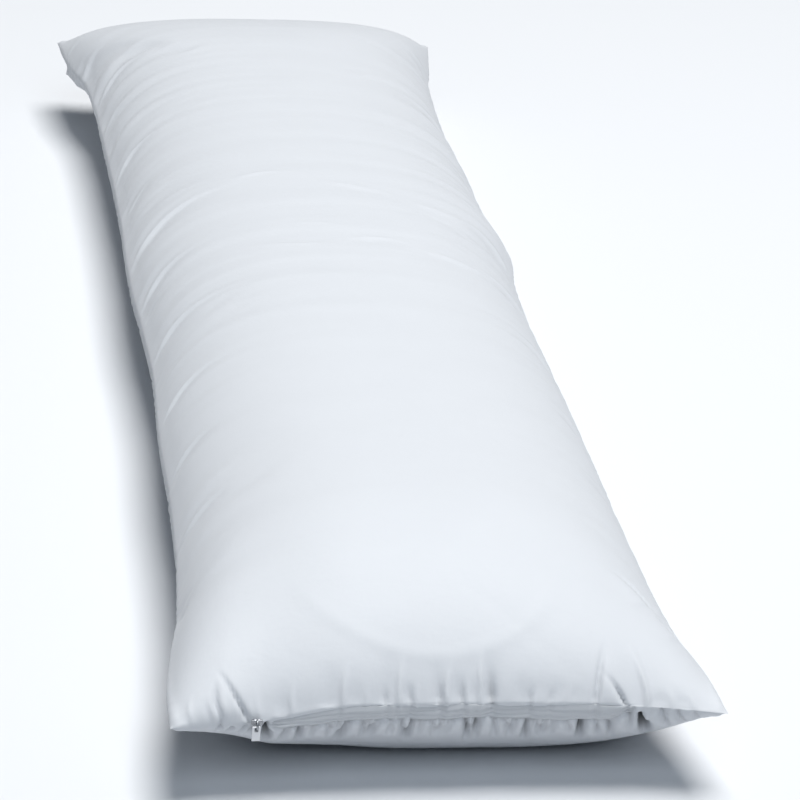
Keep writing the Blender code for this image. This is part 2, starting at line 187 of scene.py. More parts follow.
# Faint slack folds: their spacing and height, their turn, how far they wander as they drift, and
# the length of the patches in which they show.
Drape = namedtuple("Drape", "spacing height turn wander patch")
DRAPES = (
    Drape(0.0127, 0.00009, 0.4, 0.08, 0.041),
    Drape(0.0213, 0.00034, 1.9, 0.06, 0.067),
    Drape(0.0345, 0.00075, 3.1, 0.05, 0.093),
    Drape(0.0610, 0.00150, 5.0, 0.03, 0.151),
)
# The flap's two ends along the zip's seam, and how far it reaches down.
FLAP_FROM, FLAP_TO, FLAP_DEEP = -0.1300, 0.1355, 0.0115
MILLIMETRE = 0.001
# The least length and area that a share is still taken of.
NO_LENGTH, NO_AREA = 1e-9, 1e-12


# Numbers that a user would change.
class PillowShape(bpy.types.PropertyGroup):
    half_length: FloatProperty(
        name="Half length", description="Corner to corner, halved", default=0.700, unit="LENGTH"
    )
    seam_height: FloatProperty(
        name="Seam height", description="Height of the seam", default=0.067, unit="LENGTH"
    )
    crown: FloatProperty(
        name="Crown", description="Rise of the top panel over the seam", default=0.079,
        unit="LENGTH",
    )
    belly: FloatProperty(
        name="Belly", description="Depth of the lower panel under the seam", default=0.100,
        unit="LENGTH",
    )
    cut_width: FloatProperty(
        name="Cut width", description="Width of each panel as cut", default=0.400, unit="LENGTH"
    )
    cut_length: FloatProperty(
        name="Cut length", description="Length of each panel as cut", default=1.450, unit="LENGTH"
    )
    pressure: FloatProperty(
        name="Pressure", description="How hard the filling pushes the cloth out", default=4.0
    )
    frames: IntProperty(name="Frames", description="Length of the cloth simulation", default=24)
    crumple: FloatProperty(
        name="Crumple", description="Share of the simulated wrinkles that is kept", default=0.75,
        subtype="FACTOR",
    )


class PillowCloth(bpy.types.PropertyGroup):
    colour: FloatVectorProperty(
        name="Colour", description="Colour of the casing", subtype="COLOR",
        default=(0.593, 0.613, 0.645),
    )
    roughness: FloatProperty(
        name="Roughness", description="Roughness of the casing", default=0.6, subtype="FACTOR"
    )
    threads: FloatProperty(
        name="Threads", description="Warp threads in a metre of cloth", default=2600.0
    )
    sheen: FloatProperty(
        name="Sheen", description="Soft edge light of brushed threads", default=0.12,
        subtype="FACTOR",
    )


class PillowStudio(bpy.types.PropertyGroup):
    key: FloatProperty(
        name="Key", description="Power of the overhead softbox", default=470.0, subtype="POWER"
    )
    sky: FloatProperty(name="Sky", description="Strength of the room's own light", default=0.08)


# A number that goes smoothly from `before` to `after`, from start to start + reach.
Fade = namedtuple("Fade", "start reach before after", defaults=(0.0, 1.0))
# A smooth hump: its middle, how far it reaches to either side, and its height.
Hump = namedtuple("Hump", "middle reach height")


def fade(value, row):
    """The fade's number at a value."""
    part = np.clip((value - row.start) / row.reach, 0.0, 1.0)
    return row.before + (row.after - row.before) * (part * part * (3.0 - 2.0 * part))


def falloff(value, reach):
    """1 at 0, and smoothly less on both sides."""
    return np.exp(-((value / reach) ** 2))


def hump(value, row):
    """The hump's height at a value."""
    return row.height * falloff(value - row.middle, row.reach)


# Steps of the side seam's table.
SEAM_STEPS = 801


def seam_table():
    """Half widths at close steps along the length, as smooth curves through the stations."""
    along = np.array([row.along for row in SIDE_SEAM])
    fine = np.linspace(-1.0, 1.0, SEAM_STEPS)
    curves = []
    for values in (
        np.array([row.left for row in SIDE_SEAM]), np.array([row.right for row in SIDE_SEAM])
    ):
        slope = np.gradient(values, along)
        k = np.clip(np.searchsorted(along, fine, side="right") - 1, 0, len(along) - 2)
        span = along[k + 1] - along[k]
        t = (fine - along[k]) / span
        curves.append(
            (1 + 2 * t) * (1 - t) ** 2 * values[k]
            + t * (1 - t) ** 2 * span * slope[k]
            + t * t * (3 - 2 * t) * values[k + 1]
            + t * t * (t - 1) * span * slope[k + 1]
        )
    return fine, *curves


SEAM_ALONG, SEAM_LEFT, SEAM_RIGHT = seam_table()

# The outline and the seam: how far the ends are drawn in at their middles, how the corners are
# rounded, and how far the seam hangs down or stands up at the corners.
ZIP_DRAW, FAR_DRAW = 0.011, 0.014
CORNER_ROUND, CORNER_RADIUS = 0.0016, 0.004
LEFT_DROOP, RIGHT_DROOP, FAR_DROOP = Fade(0.30, 0.45, 0.0, 0.010), 0.005, -0.003


def seam_outline(across, along):
    """The outline's half width and half length at a place, and the seam's height."""
    shape = bpy.context.scene.pillow_shape
    half = np.where(
        across < 0.0,
        np.interp(along, SEAM_ALONG, SEAM_LEFT),
        np.interp(along, SEAM_ALONG, SEAM_RIGHT),
    )
    beside = (1.0 - np.abs(across)) * half
    half = half - CORNER_ROUND * falloff((1.0 - np.abs(along)) * shape.half_length, CORNER_RADIUS)
    end = shape.half_length - np.where(along < 0.0, ZIP_DRAW, FAR_DRAW) * (1.0 - across**4)
    end = end - CORNER_ROUND * falloff(beside, CORNER_RADIUS)
    zip_droop = np.where(across < 0.0, fade(-across, LEFT_DROOP), RIGHT_DROOP * across**2)
    droop = np.where(along < 0.0, zip_droop, FAR_DROOP * across**2)
    return half, end, shape.seam_height - droop * along**4


# The filling. Reaches are how far in from an end the panel comes to its full height, squares how
# flat its middle is across, slants how lean it starts at an end, and powers how round it is.
FULL_POWER, TOP_SQUARE, BELLY_SQUARE = 0.58, 2.5, 2.0
ZIP_REACH, FAR_REACH, FAR_CORNER_REACH = 0.185, 0.204, 0.092
BELLY_REACH, BELLY_MIDDLE_MORE = Fade(0.0, 1.0, 0.182, 0.096), 0.016
BELLY_CORNER_MORE = Fade(0.60, 0.20, 0.0, 0.07)
LEFT_SQUARER = Fade(0.55, 0.35, 0.0, 0.9)
SLANT_PLACES, TOP_SLANTS = (-0.80, -0.66, 0.72, 0.85), (0.0, 0.05, 0.05, 0.01)
BELLY_SLANT = Fade(0.55, 0.20, 0.0, 0.02)
RIGHT_THINNER, LEFT_THINNER, FAR_THINNER = 0.05, -0.12, 0.02
CORNER_SPAN = Fade(0.55, 0.40)
FAR_UNDERCUT = Fade(0.50, 0.35, 0.0, 0.4)
EAR_FLAT, EAR_REACH, NEAR_EAR = 0.4, 0.030, 0.5
FLOOR_EASE = 0.006


def fullness(across, along, half, room, upper):
    """How full a panel is, from 0 at the seam to 1, at a place that is `room` from the end."""
    near = along < 0.0
    if upper:
        far = FAR_REACH + (FAR_CORNER_REACH - FAR_REACH) * across**2
        reach = np.where(near, ZIP_REACH, far)
        square = TOP_SQUARE + fade(-along, LEFT_SQUARER) * (across < 0.0)
        slant = np.where(near, np.interp(across, SLANT_PLACES, TOP_SLANTS), 0.0)
        corner = np.where(near, np.where(across > 0.0, RIGHT_THINNER, LEFT_THINNER), FAR_THINNER)
        across_power = FULL_POWER
        along_power = FULL_POWER + corner * fade(np.abs(across), CORNER_SPAN)
    else:
        reach = np.where(near, fade(across, BELLY_REACH), BELLY_REACH.before)
        reach = reach + BELLY_MIDDLE_MORE * (1.0 - across**2) * near
        reach = reach + fade(-across, BELLY_CORNER_MORE) * near
        square = BELLY_SQUARE
        slant = fade(across, BELLY_SLANT) * near
        across_power = FULL_POWER + fade(along, FAR_UNDERCUT)
        along_power = FULL_POWER
    over = np.maximum(1.0 - np.abs(across) ** square, 0.0) ** across_power
    inward = np.clip(room / reach, 0.0, 1.0)
    rise = np.maximum(1.0 - (1.0 - inward) ** 2, 0.0)
    rise = rise * rise * (1.0 + slant) / np.maximum(rise + slant, NO_LENGTH)
    ear = np.hypot((1.0 - np.abs(across)) * half, room)
    flat = EAR_FLAT * np.where(near, NEAR_EAR * (across > 0.0), 1.0)
    return over * rise**along_power * (1.0 - flat * falloff(ear, EAR_REACH))


def panel_points(across, along, upper):
    """Places on one panel of the plain filled shape; across and along run from -1 to 1."""
    shape = bpy.context.scene.pillow_shape
    half, end, seam = seam_outline(across, along)
    x, y = across * half, along * end
    full = fullness(across, along, half, end - np.abs(y), upper)
    if upper:
        z = seam + shape.crown * full
    else:
        z = seam - shape.belly * full
        soft = (z + FLOOR_EASE) ** 2 / (4.0 * FLOOR_EASE)
        z = np.where(z <= -FLOOR_EASE, 0.0, np.where(z < FLOOR_EASE, soft, z))
    return np.stack([x + OFF_MIDDLE, y, z], axis=-1)


def arc_stations(points):
    """Numbers from -1 to 1 that run evenly with a polyline's length."""
    steps = np.linalg.norm(np.diff(points, axis=0), axis=1)
    run = np.concatenate([[0.0], np.cumsum(steps)])
    return 2.0 * (run / run[-1]) - 1.0


# The steps in which the cloth's length is measured, and how far its rows bow at the side seams.
SPINE_STEPS, RIB_STEPS, SIDE_BOW = 601, 241, 0.55


def cloth_to_shape(s, t, upper):
    """Where places of the flat cut panel, from -1 to 1 each way, lie on the filled shape."""
    spine_along = np.linspace(-1.0, 1.0, SPINE_STEPS)
    spine = panel_points(np.zeros_like(spine_along), spine_along, upper)
    middle = np.interp(t, arc_stations(spine), spine_along)
    blend = SIDE_BOW * np.abs(s) ** 3
    along = (1.0 - blend) * middle[:, None] + blend * t[:, None]
    across = np.empty_like(along)
    rib = 2.0 * (0.5 - 0.5 * np.cos(np.linspace(0.0, math.pi, RIB_STEPS))) - 1.0
    for i, place in enumerate(middle):
        line = panel_points(rib, np.full_like(rib, place), upper)
        across[i] = np.interp(s, arc_stations(line), rib)
    return across, along


class Grid:
    """Two panels over one seam. Each row of each panel takes every nth column."""

    def __init__(self, s, t, top_strides=None, belly_strides=None):
        self.s, self.t = s, t
        rows, cols = len(t), len(s)
        self.size = (rows, cols)
        self.top_strides = top_strides or [1] * rows
        self.belly_strides = belly_strides or [1] * rows
        self.top = np.full(self.size, -1)
        self.belly = np.full(self.size, -1)
        count = 0
        for i, stride in enumerate(self.top_strides):
            picked = np.arange(0, cols, stride)
            self.top[i, picked] = count + np.arange(len(picked))
            count += len(picked)
        for i, stride in enumerate(self.belly_strides):
            picked = np.arange(0, cols, stride)
            if i in (0, rows - 1):
                self.belly[i, picked] = self.top[i, picked]
                continue
            self.belly[i, [0, -1]] = self.top[i, [0, -1]]
            self.belly[i, picked[1:-1]] = count + np.arange(len(picked) - 2)
            count += len(picked) - 2
        self.count = count

    def strips(self, index, strides, upper):
        """Faces between each two rows of one panel, three-sided where the strides change."""
        faces = []
        for i in range(len(strides) - 1):
            a, b = strides[i], strides[i + 1]
            low, high = index[i, ::a].tolist(), index[i + 1, ::b].tolist()
            if a == b:
                faces += [(low[j], low[j + 1], high[j + 1], high[j]) for j in range(len(low) - 1)]
            elif a < b:
                for j in range(len(high) - 1):
                    faces.append((low[2 * j], low[2 * j + 1], high[j]))
                    faces.append((low[2 * j + 1], high[j + 1], high[j]))
                    faces.append((low[2 * j + 1], low[2 * j + 2], high[j + 1]))
            else:
                for j in range(len(low) - 1):
                    faces.append((low[j], high[2 * j + 1], high[2 * j]))
                    faces.append((low[j], low[j + 1], high[2 * j + 1]))
                    faces.append((low[j + 1], high[2 * j + 2], high[2 * j + 1]))
        return faces if upper else [face[::-1] for face in faces]

    def faces(self):
        """The faces of both panels."""
        return self.strips(self.top, self.top_strides, True) + self.strips(
            self.belly, self.belly_strides, False)

    def join(self, top, belly):
        """One array of places from the two panels' arrays; the seam's come from the top."""
        places = np.empty((self.count, top.shape[-1]))
        for index, panel in ((self.belly, belly), (self.top, top)):
            used = index >= 0
            places[index[used]] = panel[used]
        return places


def cut_places(s, t):
    """x and y in metres on the flat cut panel, for places from -1 to 1."""
    shape = bpy.context.scene.pillow_shape
    return 0.5 * shape.cut_width * s, 0.5 * shape.cut_length * t


def from_edges(x, y):
    """How far a place of the cut panel is from the nearer side and from the nearer end."""
    shape = bpy.context.scene.pillow_shape
    return 0.5 * shape.cut_width - np.abs(x), 0.5 * shape.cut_length - np.abs(y)


# Points along a crease's curve.
CURVE_POINTS = 33


def crease_curve(crease):
    """Points of a smooth curve through a crease's three places, in metres."""
    t = np.linspace(0.0, 2.0, CURVE_POINTS)[:, None]
    a, b, c = (np.array(p) for p in (
        (crease.x0, crease.y0), (crease.x1, crease.y1), (crease.x2, crease.y2)))
    return MILLIMETRE * (a * (t - 1) * (t - 2) / 2 - b * t * (t - 2) + c * t * (t - 1) / 2)


# A crease's section, in its own widths: a narrow crest, a broad hollow on its left, and a hollow
# on its right that is steep towards the crest.
CREST_REACH, LEFT_MIDDLE, LEFT_REACH = 0.42, 2.0, 1.8
RIGHT_MIDDLE, RIGHT_INNER_REACH, RIGHT_OUTER_REACH = -1.5, 0.9, 3.0
CREASE_MARGIN = 7.0
# Along its run a crease grows from its start, where its right hollow has a part of its depth.
GROWTH, RIGHT_AT_START = Fade(0.1, 0.3), 0.3
# How a long fold, one from the far end, a pleat over the zip and a gather under it run: the share
# of their height at their start, and the part of their run that keeps the whole height.
Run = namedtuple("Run", "start hold")
FOLD, END_FOLD, PLEAT, GATHER = Run(0.0, 0.25), Run(1.0, 0.25), Run(1.0, 0.3), Run(1.0, 0.45)


def crease_lift(crease, x, y, course):
    """How far a crease lifts the cloth at places of the cut panel."""
    lift = np.zeros_like(x)
    curve = crease_curve(crease)
    wide = MILLIMETRE * crease.wide
    low, high = curve.min(axis=0) - CREASE_MARGIN * wide, curve.max(axis=0) + CREASE_MARGIN * wide
    near = (x > low[0]) & (x < high[0]) & (y > low[1]) & (y < high[1])
    if not near.any():
        return lift
    px, py = x[near][:, None], y[near][:, None]
    first, step = curve[:-1], np.diff(curve, axis=0)
    size = np.hypot(step[:, 0], step[:, 1])
    part = ((px - first[:, 0]) * step[:, 0] + (py - first[:, 1]) * step[:, 1]) / size**2
    inside = np.clip(part, 0.0, 1.0)
    off_x = px - first[:, 0] - inside * step[:, 0]
    off_y = py - first[:, 1] - inside * step[:, 1]
    away = np.hypot(off_x, off_y)
    best = away.argmin(axis=1)
    pick = np.arange(len(best))
    hand = step[best, 0] * off_y[pick, best] - step[best, 1] * off_x[pick, best]
    beside = away[pick, best] * np.sign(hand) / wide
    run = (best + inside[pick, best]) / len(step)
    strength = fade(run, Fade(course.hold, 1.0 - course.hold, 1.0, 0.0))
    beyond = np.where(part[pick, best] < 0.0, away[pick, best], 0.0)
    strength = strength * np.where(best == 0, falloff(beyond, wide), 1.0)
    grown = course.start + (1.0 - course.start) * fade(run, GROWTH)
    section = grown * crease.crest * falloff(beside, CREST_REACH)
    section = section - grown * crease.left * falloff(beside - LEFT_MIDDLE, LEFT_REACH)
    reach = np.where(beside > RIGHT_MIDDLE, RIGHT_INNER_REACH, RIGHT_OUTER_REACH)
    right = crease.right * (RIGHT_AT_START + (1.0 - RIGHT_AT_START) * grown)
    section = section - right * falloff(beside - RIGHT_MIDDLE, reach)
    lift[near] = MILLIMETRE * strength * section
    return lift


def creases_lift(creases, x, y, course):
    """What all the creases of a table lift together."""
    return sum(crease_lift(crease, x, y, course) for crease in creases)


# The gathers below the flap, in millimetres: how far inside the flap's ends they start and end,
# their mean spacing and how it varies, the least depth, length and width with what the largest
# have more, how far they lean, and where they start over the flap's edge, from the panel's middle.
GATHERS_IN, GATHERS_OUT, GATHER_SPACING, GATHER_SWING = 14.0, 4.0, 7.4, 2.2
GATHER_DEEP, GATHER_LONG, GATHER_LEAN, GATHER_TOP = (4.0, 5.5), (18.0, 26.0), 6.0, -727.0
GATHER_WIDE, GATHER_LEFT, GATHER_RIGHT = (3.7, 1.0), -0.12, -0.10


def gathers():
    """Sharp pleats of the lower panel below the flap, in an uneven rhythm of slow waves."""
    made = []
    x, k = FLAP_FROM / MILLIMETRE + GATHERS_IN, 0
    while x < FLAP_TO / MILLIMETRE - GATHERS_OUT:
        swing = math.sin(2.4 * k) + 0.6 * math.sin(5.1 * k + 1.0)
        size = 0.5 + 0.5 * math.sin(1.7 * k + 0.4) * math.sin(0.6 * k + 0.8)
        deep = GATHER_DEEP[0] + GATHER_DEEP[1] * size**2
        long = GATHER_LONG[0] + GATHER_LONG[1] * size
        lean = GATHER_LEAN * math.sin(1.9 * k)
        top = float(flap_depth(MILLIMETRE * x)) / MILLIMETRE + GATHER_TOP
        made.append(Crease(
            x, top, x + 0.6 * lean, top + 0.5 * long, x + 0.8 * lean, top + long,
            -deep, GATHER_WIDE[0] + GATHER_WIDE[1] * size, GATHER_LEFT * deep, GATHER_RIGHT * deep))
        x += GATHER_SPACING + GATHER_SWING * swing
        k += 1
    return made


# Outside the pad's edge: the step down, how far it reaches, and how the U fades at its arms.
PAD_STEP, PAD_STEP_REACH, PAD_ARMS = Fade(0.0, 0.012, 0.0, 0.4), 0.03, Fade(0.1, 0.5)


def pad_edge(x, y):
    """A low soft ridge in a U, with the cloth a little lower outside it."""
    across = (x - PAD_EDGE.x) / PAD_EDGE.half_wide
    along = (y - PAD_EDGE.y) / PAD_EDGE.half_long
    away = (np.hypot(across, along) - 1.0) * PAD_EDGE.half_long
    step = fade(away, PAD_STEP) * falloff(away, PAD_STEP_REACH)
    return PAD_EDGE.height * (falloff(away, PAD_EDGE.wide) - step) * fade(-along, PAD_ARMS)


# How the cloth's rows bow towards the far end at the sides, as its folds do.
ROW_BOW, ROW_BOW_REACH = 0.040, 0.038
# A wave over the cloth: its height, its lengths each way over 2 pi, and its turn.
Wave = namedtuple("Wave", "height x y turn")
# Where the drapes drift to, and how their patches lie.
DRAPE_DRIFT = (Wave(6.0, 0.090, math.inf, 1.0), Wave(4.0, 0.031, 0.200, 0.0))
DRAPE_PATCH = Wave(1.0, 0.057, 0.330, 0.0)
# The share that no patch takes away, their share on the crown, and their share on the right side.
DRAPE_EVEN, DRAPE_CROWN, DRAPE_RIGHT = 0.45, 0.25, 0.7
# How they rise over the slopes, and fade to the zip end, at the far right, at the sides and ends.
DRAPE_SLOPES, DRAPE_NEAR = Hump(0.045, 0.045, 0.75), Fade(-0.35, 0.30, 0.35)
DRAPE_FAR_RIGHT = (Fade(0.0, 0.06, 0.0, 0.6), Fade(0.28, 0.16))
DRAPE_SIDES, DRAPE_ENDS = Fade(0.0, 0.012), Fade(0.05, 0.10)


def waved(row, x, y):
    """The wave's height at places of the cut panel."""
    return row.height * np.sin(x / row.x + y / row.y + row.turn)


def drapes(x, y):
    """Faint slack folds that run from the side seams up over the slopes, bowed as the creases."""
    side, end = from_edges(x, y)
    bowed = y - ROW_BOW * (1.0 - np.exp(-side / ROW_BOW_REACH))
    drift = sum(waved(row, x, y) for row in DRAPE_DRIFT)
    lift = np.zeros_like(x)
    for part in DRAPES:
        wave = np.sin(2.0 * math.pi * bowed / part.spacing + part.turn + part.wander * drift)
        patch = np.sin(y / part.patch + part.turn)
        patch = patch * waved(DRAPE_PATCH._replace(turn=part.turn), x, y)
        lift = lift + part.height * wave * (DRAPE_EVEN + (1.0 - DRAPE_EVEN) * patch)
    share = DRAPE_CROWN + hump(side, DRAPE_SLOPES)
    share = share * np.where(x < 0.0, 1.0, DRAPE_RIGHT) * fade(y, DRAPE_NEAR)
    share = share * (1.0 - fade(x, DRAPE_FAR_RIGHT[0]) * fade(y, DRAPE_FAR_RIGHT[1]))
    return lift * share * fade(side, DRAPE_SIDES) * fade(end, DRAPE_ENDS)


# The seam: its groove, the shoulders beside it, and its puckers, whose wave lengths over 2 pi are
# their own, their drift's and their swell's, and how far they drift. It fades out at the corners.
SEAM_GROOVE, SEAM_SHOULDER = Hump(0.0, 0.0017, -0.0017), Hump(0.0055, 0.0042, 0.0011)
SEAM_PUCKER, PUCKER_WAVES = Hump(0.004, 0.006, 0.00035), (0.0021, 0.011, 0.031)
PUCKER_DRIFT, PUCKER_TURN, SEAM_CORNER = 2.0, 1.0, 0.009


def seam_shape(x, y):
    """The seam itself drawn in, with soft shoulders and fine puckers along it."""
    side, end = from_edges(x, y)
    away = np.minimum(side, np.where(y < 0.0, math.inf, end))
    along = np.where(side < end, y, x)
    close, drift, swell = PUCKER_WAVES
    ripple = np.sin(along / close + PUCKER_DRIFT * np.sin(along / drift))
    ripple = ripple * (0.5 + 0.5 * np.sin(along / swell + PUCKER_TURN))
    corner = 1.0 - falloff(np.hypot(side, end), SEAM_CORNER)
    section = hump(away, SEAM_GROOVE) + hump(away, SEAM_SHOULDER) + ripple * hump(away, SEAM_PUCKER)
    return corner * section


# Over the flap the top panel rolls in, and under it the lower panel swells out.
ZIP_SIDES = Fade(0.0, 0.006)
ROLL_START, ROLL = Fade(0.0, 0.0014), Hump(0.0, 0.0055, 0.0004)
ROLL_EDGE = Hump(0.0, 0.0007, 0.0004)
FLAP_EDGE, SWELL, SET_BACK = 0.0024, Hump(1.8, 1.6, 0.0010), Fade(-0.5, 1.0, -0.0011, 0.0)


def zip_shape(x, y, upper):
    """The top panel rolled over the zip, and the lower panel set back behind its cloth flap."""
    deep = y + 0.5 * bpy.context.scene.pillow_shape.cut_length
    share = fade(x - FLAP_FROM, ZIP_SIDES) * fade(FLAP_TO - x, ZIP_SIDES)
    if upper:
        return share * (fade(deep, ROLL_START) * hump(deep, ROLL) - hump(deep, ROLL_EDGE))
    edge = (deep - flap_depth(x)) / FLAP_EDGE
    return share * (hump(edge, SWELL) + fade(edge, SET_BACK))


# Along the flap: its slight wave, how it widens from the slider, and its two ends.
FLAP_WAVE, FLAP_WAVES, FLAP_WIDENS = 0.05, 26.0, Fade(0.0, 0.22, 0.42)
FLAP_LEFT_END, FLAP_RIGHT_END = Fade(0.0, 0.03, 0.6), Fade(0.0, 0.09, 0.2)


def flap_depth(x):
    """How far the flap reaches down from the seam: narrow at the slider, then even."""
    run = (x - FLAP_FROM) / (FLAP_TO - FLAP_FROM)
    wave = 1.0 + FLAP_WAVE * np.sin(FLAP_WAVES * run)
    ends = fade(run, FLAP_LEFT_END) * fade(1.0 - run, FLAP_RIGHT_END)
    return FLAP_DEEP * wave * fade(run, FLAP_WIDENS) * ends


def panel_normals(points, upper):
    """Directions straight out of a panel at its places."""
    along_s = np.gradient(points, axis=1)
    along_t = np.gradient(points, axis=0)
    out = np.cross(along_s, along_t)
    out /= np.maximum(np.linalg.norm(out, axis=-1, keepdims=True), NO_AREA)
    return out if upper else -out


def check_done(result):
    """Stops the script where one of Blender's own operators didn't finish."""
    if result != {"FINISHED"}:
        raise RuntimeError("one of Blender's operators didn't finish")


def deselect():
    """Back to object mode, with nothing selected."""
    if bpy.context.mode != "OBJECT":
        check_done(bpy.ops.object.mode_set(mode="OBJECT"))
    bpy.ops.object.select_all(action="DESELECT")


def mesh_object(name, places, faces):
    """A new object with that mesh, its places checked."""
    if not np.isfinite(places).all():
        raise ValueError(f"{name} has a place that isn't a number")
    mesh = bpy.data.meshes.new(name)
    mesh.from_pydata(places.tolist(), [], faces)
    made = bpy.data.objects.new(name, mesh)
    bpy.context.collection.objects.link(made)
    return made


# The cloth of the simulation: light and damped, firm along its threads and soft in bending.
CLOTH_SETTINGS = {
    "quality": 5, "mass": 0.2, "air_damping": 4.0,
    "tension_stiffness": 20.0, "compression_stiffness": 20.0, "shear_stiffness": 4.0,
    "bending_stiffness": 0.05, "tension_damping": 10.0, "compression_damping": 10.0,
    "use_pressure": True, "vertex_group_mass": "hold",
}
# Under this height the cloth lies on the floor and is held.
RESTING_HEIGHT = 1e-6


def inflate(grid, top, belly):
    """Blows the sewn panels up with cloth pressure; returns how far each panel's points went."""
    shape = bpy.context.scene.pillow_shape
    places = grid.join(top, belly)
    sewn = mesh_object("sewn_panels", places, grid.faces())
    sewn.shape_key_add(name="Basis")
    cut = sewn.shape_key_add(name="cut")
    x, y = cut_places(*np.meshgrid(grid.s, grid.t))
    flat = np.stack([x, y, np.zeros_like(x)], axis=-1)
    cut.data.foreach_set("co", grid.join(flat, flat).ravel())
    hold = sewn.vertex_groups.new(name="hold")
    resting = np.nonzero(places[:, 2] < RESTING_HEIGHT)[0]
    hold.add(resting.tolist(), 1.0, "REPLACE")
    cloth = sewn.modifiers.new("cloth", "CLOTH")
    cloth.settings.rest_shape_key = cut
    for name, value in CLOTH_SETTINGS.items():
        setattr(cloth.settings, name, value)
    cloth.settings.uniform_pressure_force = shape.pressure
    cloth.settings.effector_weights.gravity = 0.0
    cloth.collision_settings.use_collision = False
    cloth.point_cache.frame_start = 1
    cloth.point_cache.frame_end = shape.frames
    scene = bpy.context.scene
    for step in range(1, shape.frames + 1):
        scene.frame_set(step)
    graph = bpy.context.evaluated_depsgraph_get()
    blown = np.empty(grid.count * 3)
    sewn.evaluated_get(graph).data.vertices.foreach_get("co", blown)
    moved = blown.reshape(-1, 3) - places
    scene.frame_set(1)
    bpy.data.objects.remove(sewn, do_unlink=True)
    return moved[grid.top], moved[grid.belly]


# How many of its own cells a blur reaches to either side.
BLUR_REACH = 3


def smoothed(field, cells):
    """A field over a panel, blurred over about that many cells each way."""
    reach = BLUR_REACH * cells
    kernel = np.exp(-0.5 * (np.arange(-reach, reach + 1) / cells) ** 2)
    kernel /= kernel.sum()
    for axis in (0, 1):
        pad = [(0, 0)] * field.ndim
        pad[axis] = (reach, reach)
        wide = np.pad(field, pad, mode="reflect", reflect_type="odd")
        field = np.apply_along_axis(lambda line: np.convolve(line, kernel, "valid"), axis, wide)
    return field


def cubic_weights(known, wanted):
    """A matrix that carries values at even steps to other places along the same line."""
    count = len(known)
    place = (wanted - known[0]) / (known[-1] - known[0]) * (count - 1)
    cell = np.clip(np.floor(place).astype(int), 0, count - 2)
    t = place - cell
    parts = (
        0.5 * (-t + 2 * t**2 - t**3), 0.5 * (2 - 5 * t**2 + 3 * t**3),
        0.5 * (t + 4 * t**2 - 3 * t**3), 0.5 * (-(t**2) + t**3),
    )
    made = np.zeros((len(wanted), count))
    for k, part in enumerate(parts):
        np.add.at(made, (np.arange(len(wanted)), np.clip(cell + k - 1, 0, count - 1)), part)
    return made


def resample(field, coarse, fine):
    """Carries the coarse grid's field to the fine grid, whose rows bow along with the creases."""
    wide = np.einsum("ijk,cj->ick", field, cubic_weights(coarse.s, fine.s))
    made = np.empty((*fine.size, field.shape[-1]))
    for column in range(fine.size[1]):
        made[:, column] = cubic_weights(coarse.t, fine.bowed[:, column]) @ wide[:, column]
    return made


def edge_steps(half, near, spacing, finer=1):
    """Stations from -1 to 1: the near spacings inwards from both edges, then even ones."""
    inner = np.concatenate([[0.0], np.cumsum(near)])
    count = int(round((2.0 * half - 2.0 * inner[-1]) / spacing))
    middle = np.linspace(inner[-1], 2.0 * half - inner[-1], count + 1)[1:-1]
    whole = np.concatenate([inner, middle, 2.0 * half - inner[::-1]])
    places = np.interp(np.arange(0, len(whole) - 1 + 0.5 / finer, 1.0 / finer),
                       np.arange(len(whole)), whole)
    return places / half - 1.0


def add_node(tree, kind, **sockets):
    """A shader node with the values of its sockets, by socket name."""
    made = tree.nodes.new(kind)
    for name, value in sockets.items():
        made.inputs[name.replace("_", " ")].default_value = value
    return made


# Places of the Mix node's colour sockets, several of which share a name.
MIX_FACTOR, MIX_A, MIX_B, MIX_RESULT = 0, 6, 7, 2


def mix_colours(tree, factor, first, second):
    """Mixes two colours, each a value or a socket, and returns the socket of the result."""
    made = tree.nodes.new("ShaderNodeMix")
    made.data_type = "RGBA"
    tree.links.new(factor, made.inputs[MIX_FACTOR])
    for place, colour in ((MIX_A, first), (MIX_B, second)):
        if isinstance(colour, bpy.types.NodeSocket):
            tree.links.new(colour, made.inputs[place])
        else:
            made.inputs[place].default_value = (*colour, 1.0)
    return made.outputs[MIX_RESULT]


# The cloth's tone: how much darker and lighter it gets at random, and how dark the shade painted
# into a deep tuck is.
TONE_DARK, TONE_LIGHT, PAINTED_TUCK_SHADE = 0.985, 1.015, 0.12
# Weft threads to a warp thread, and the scale of a wave texture with one band to a metre.
WEFT_SHARE, ONE_BAND = 0.8, 0.314


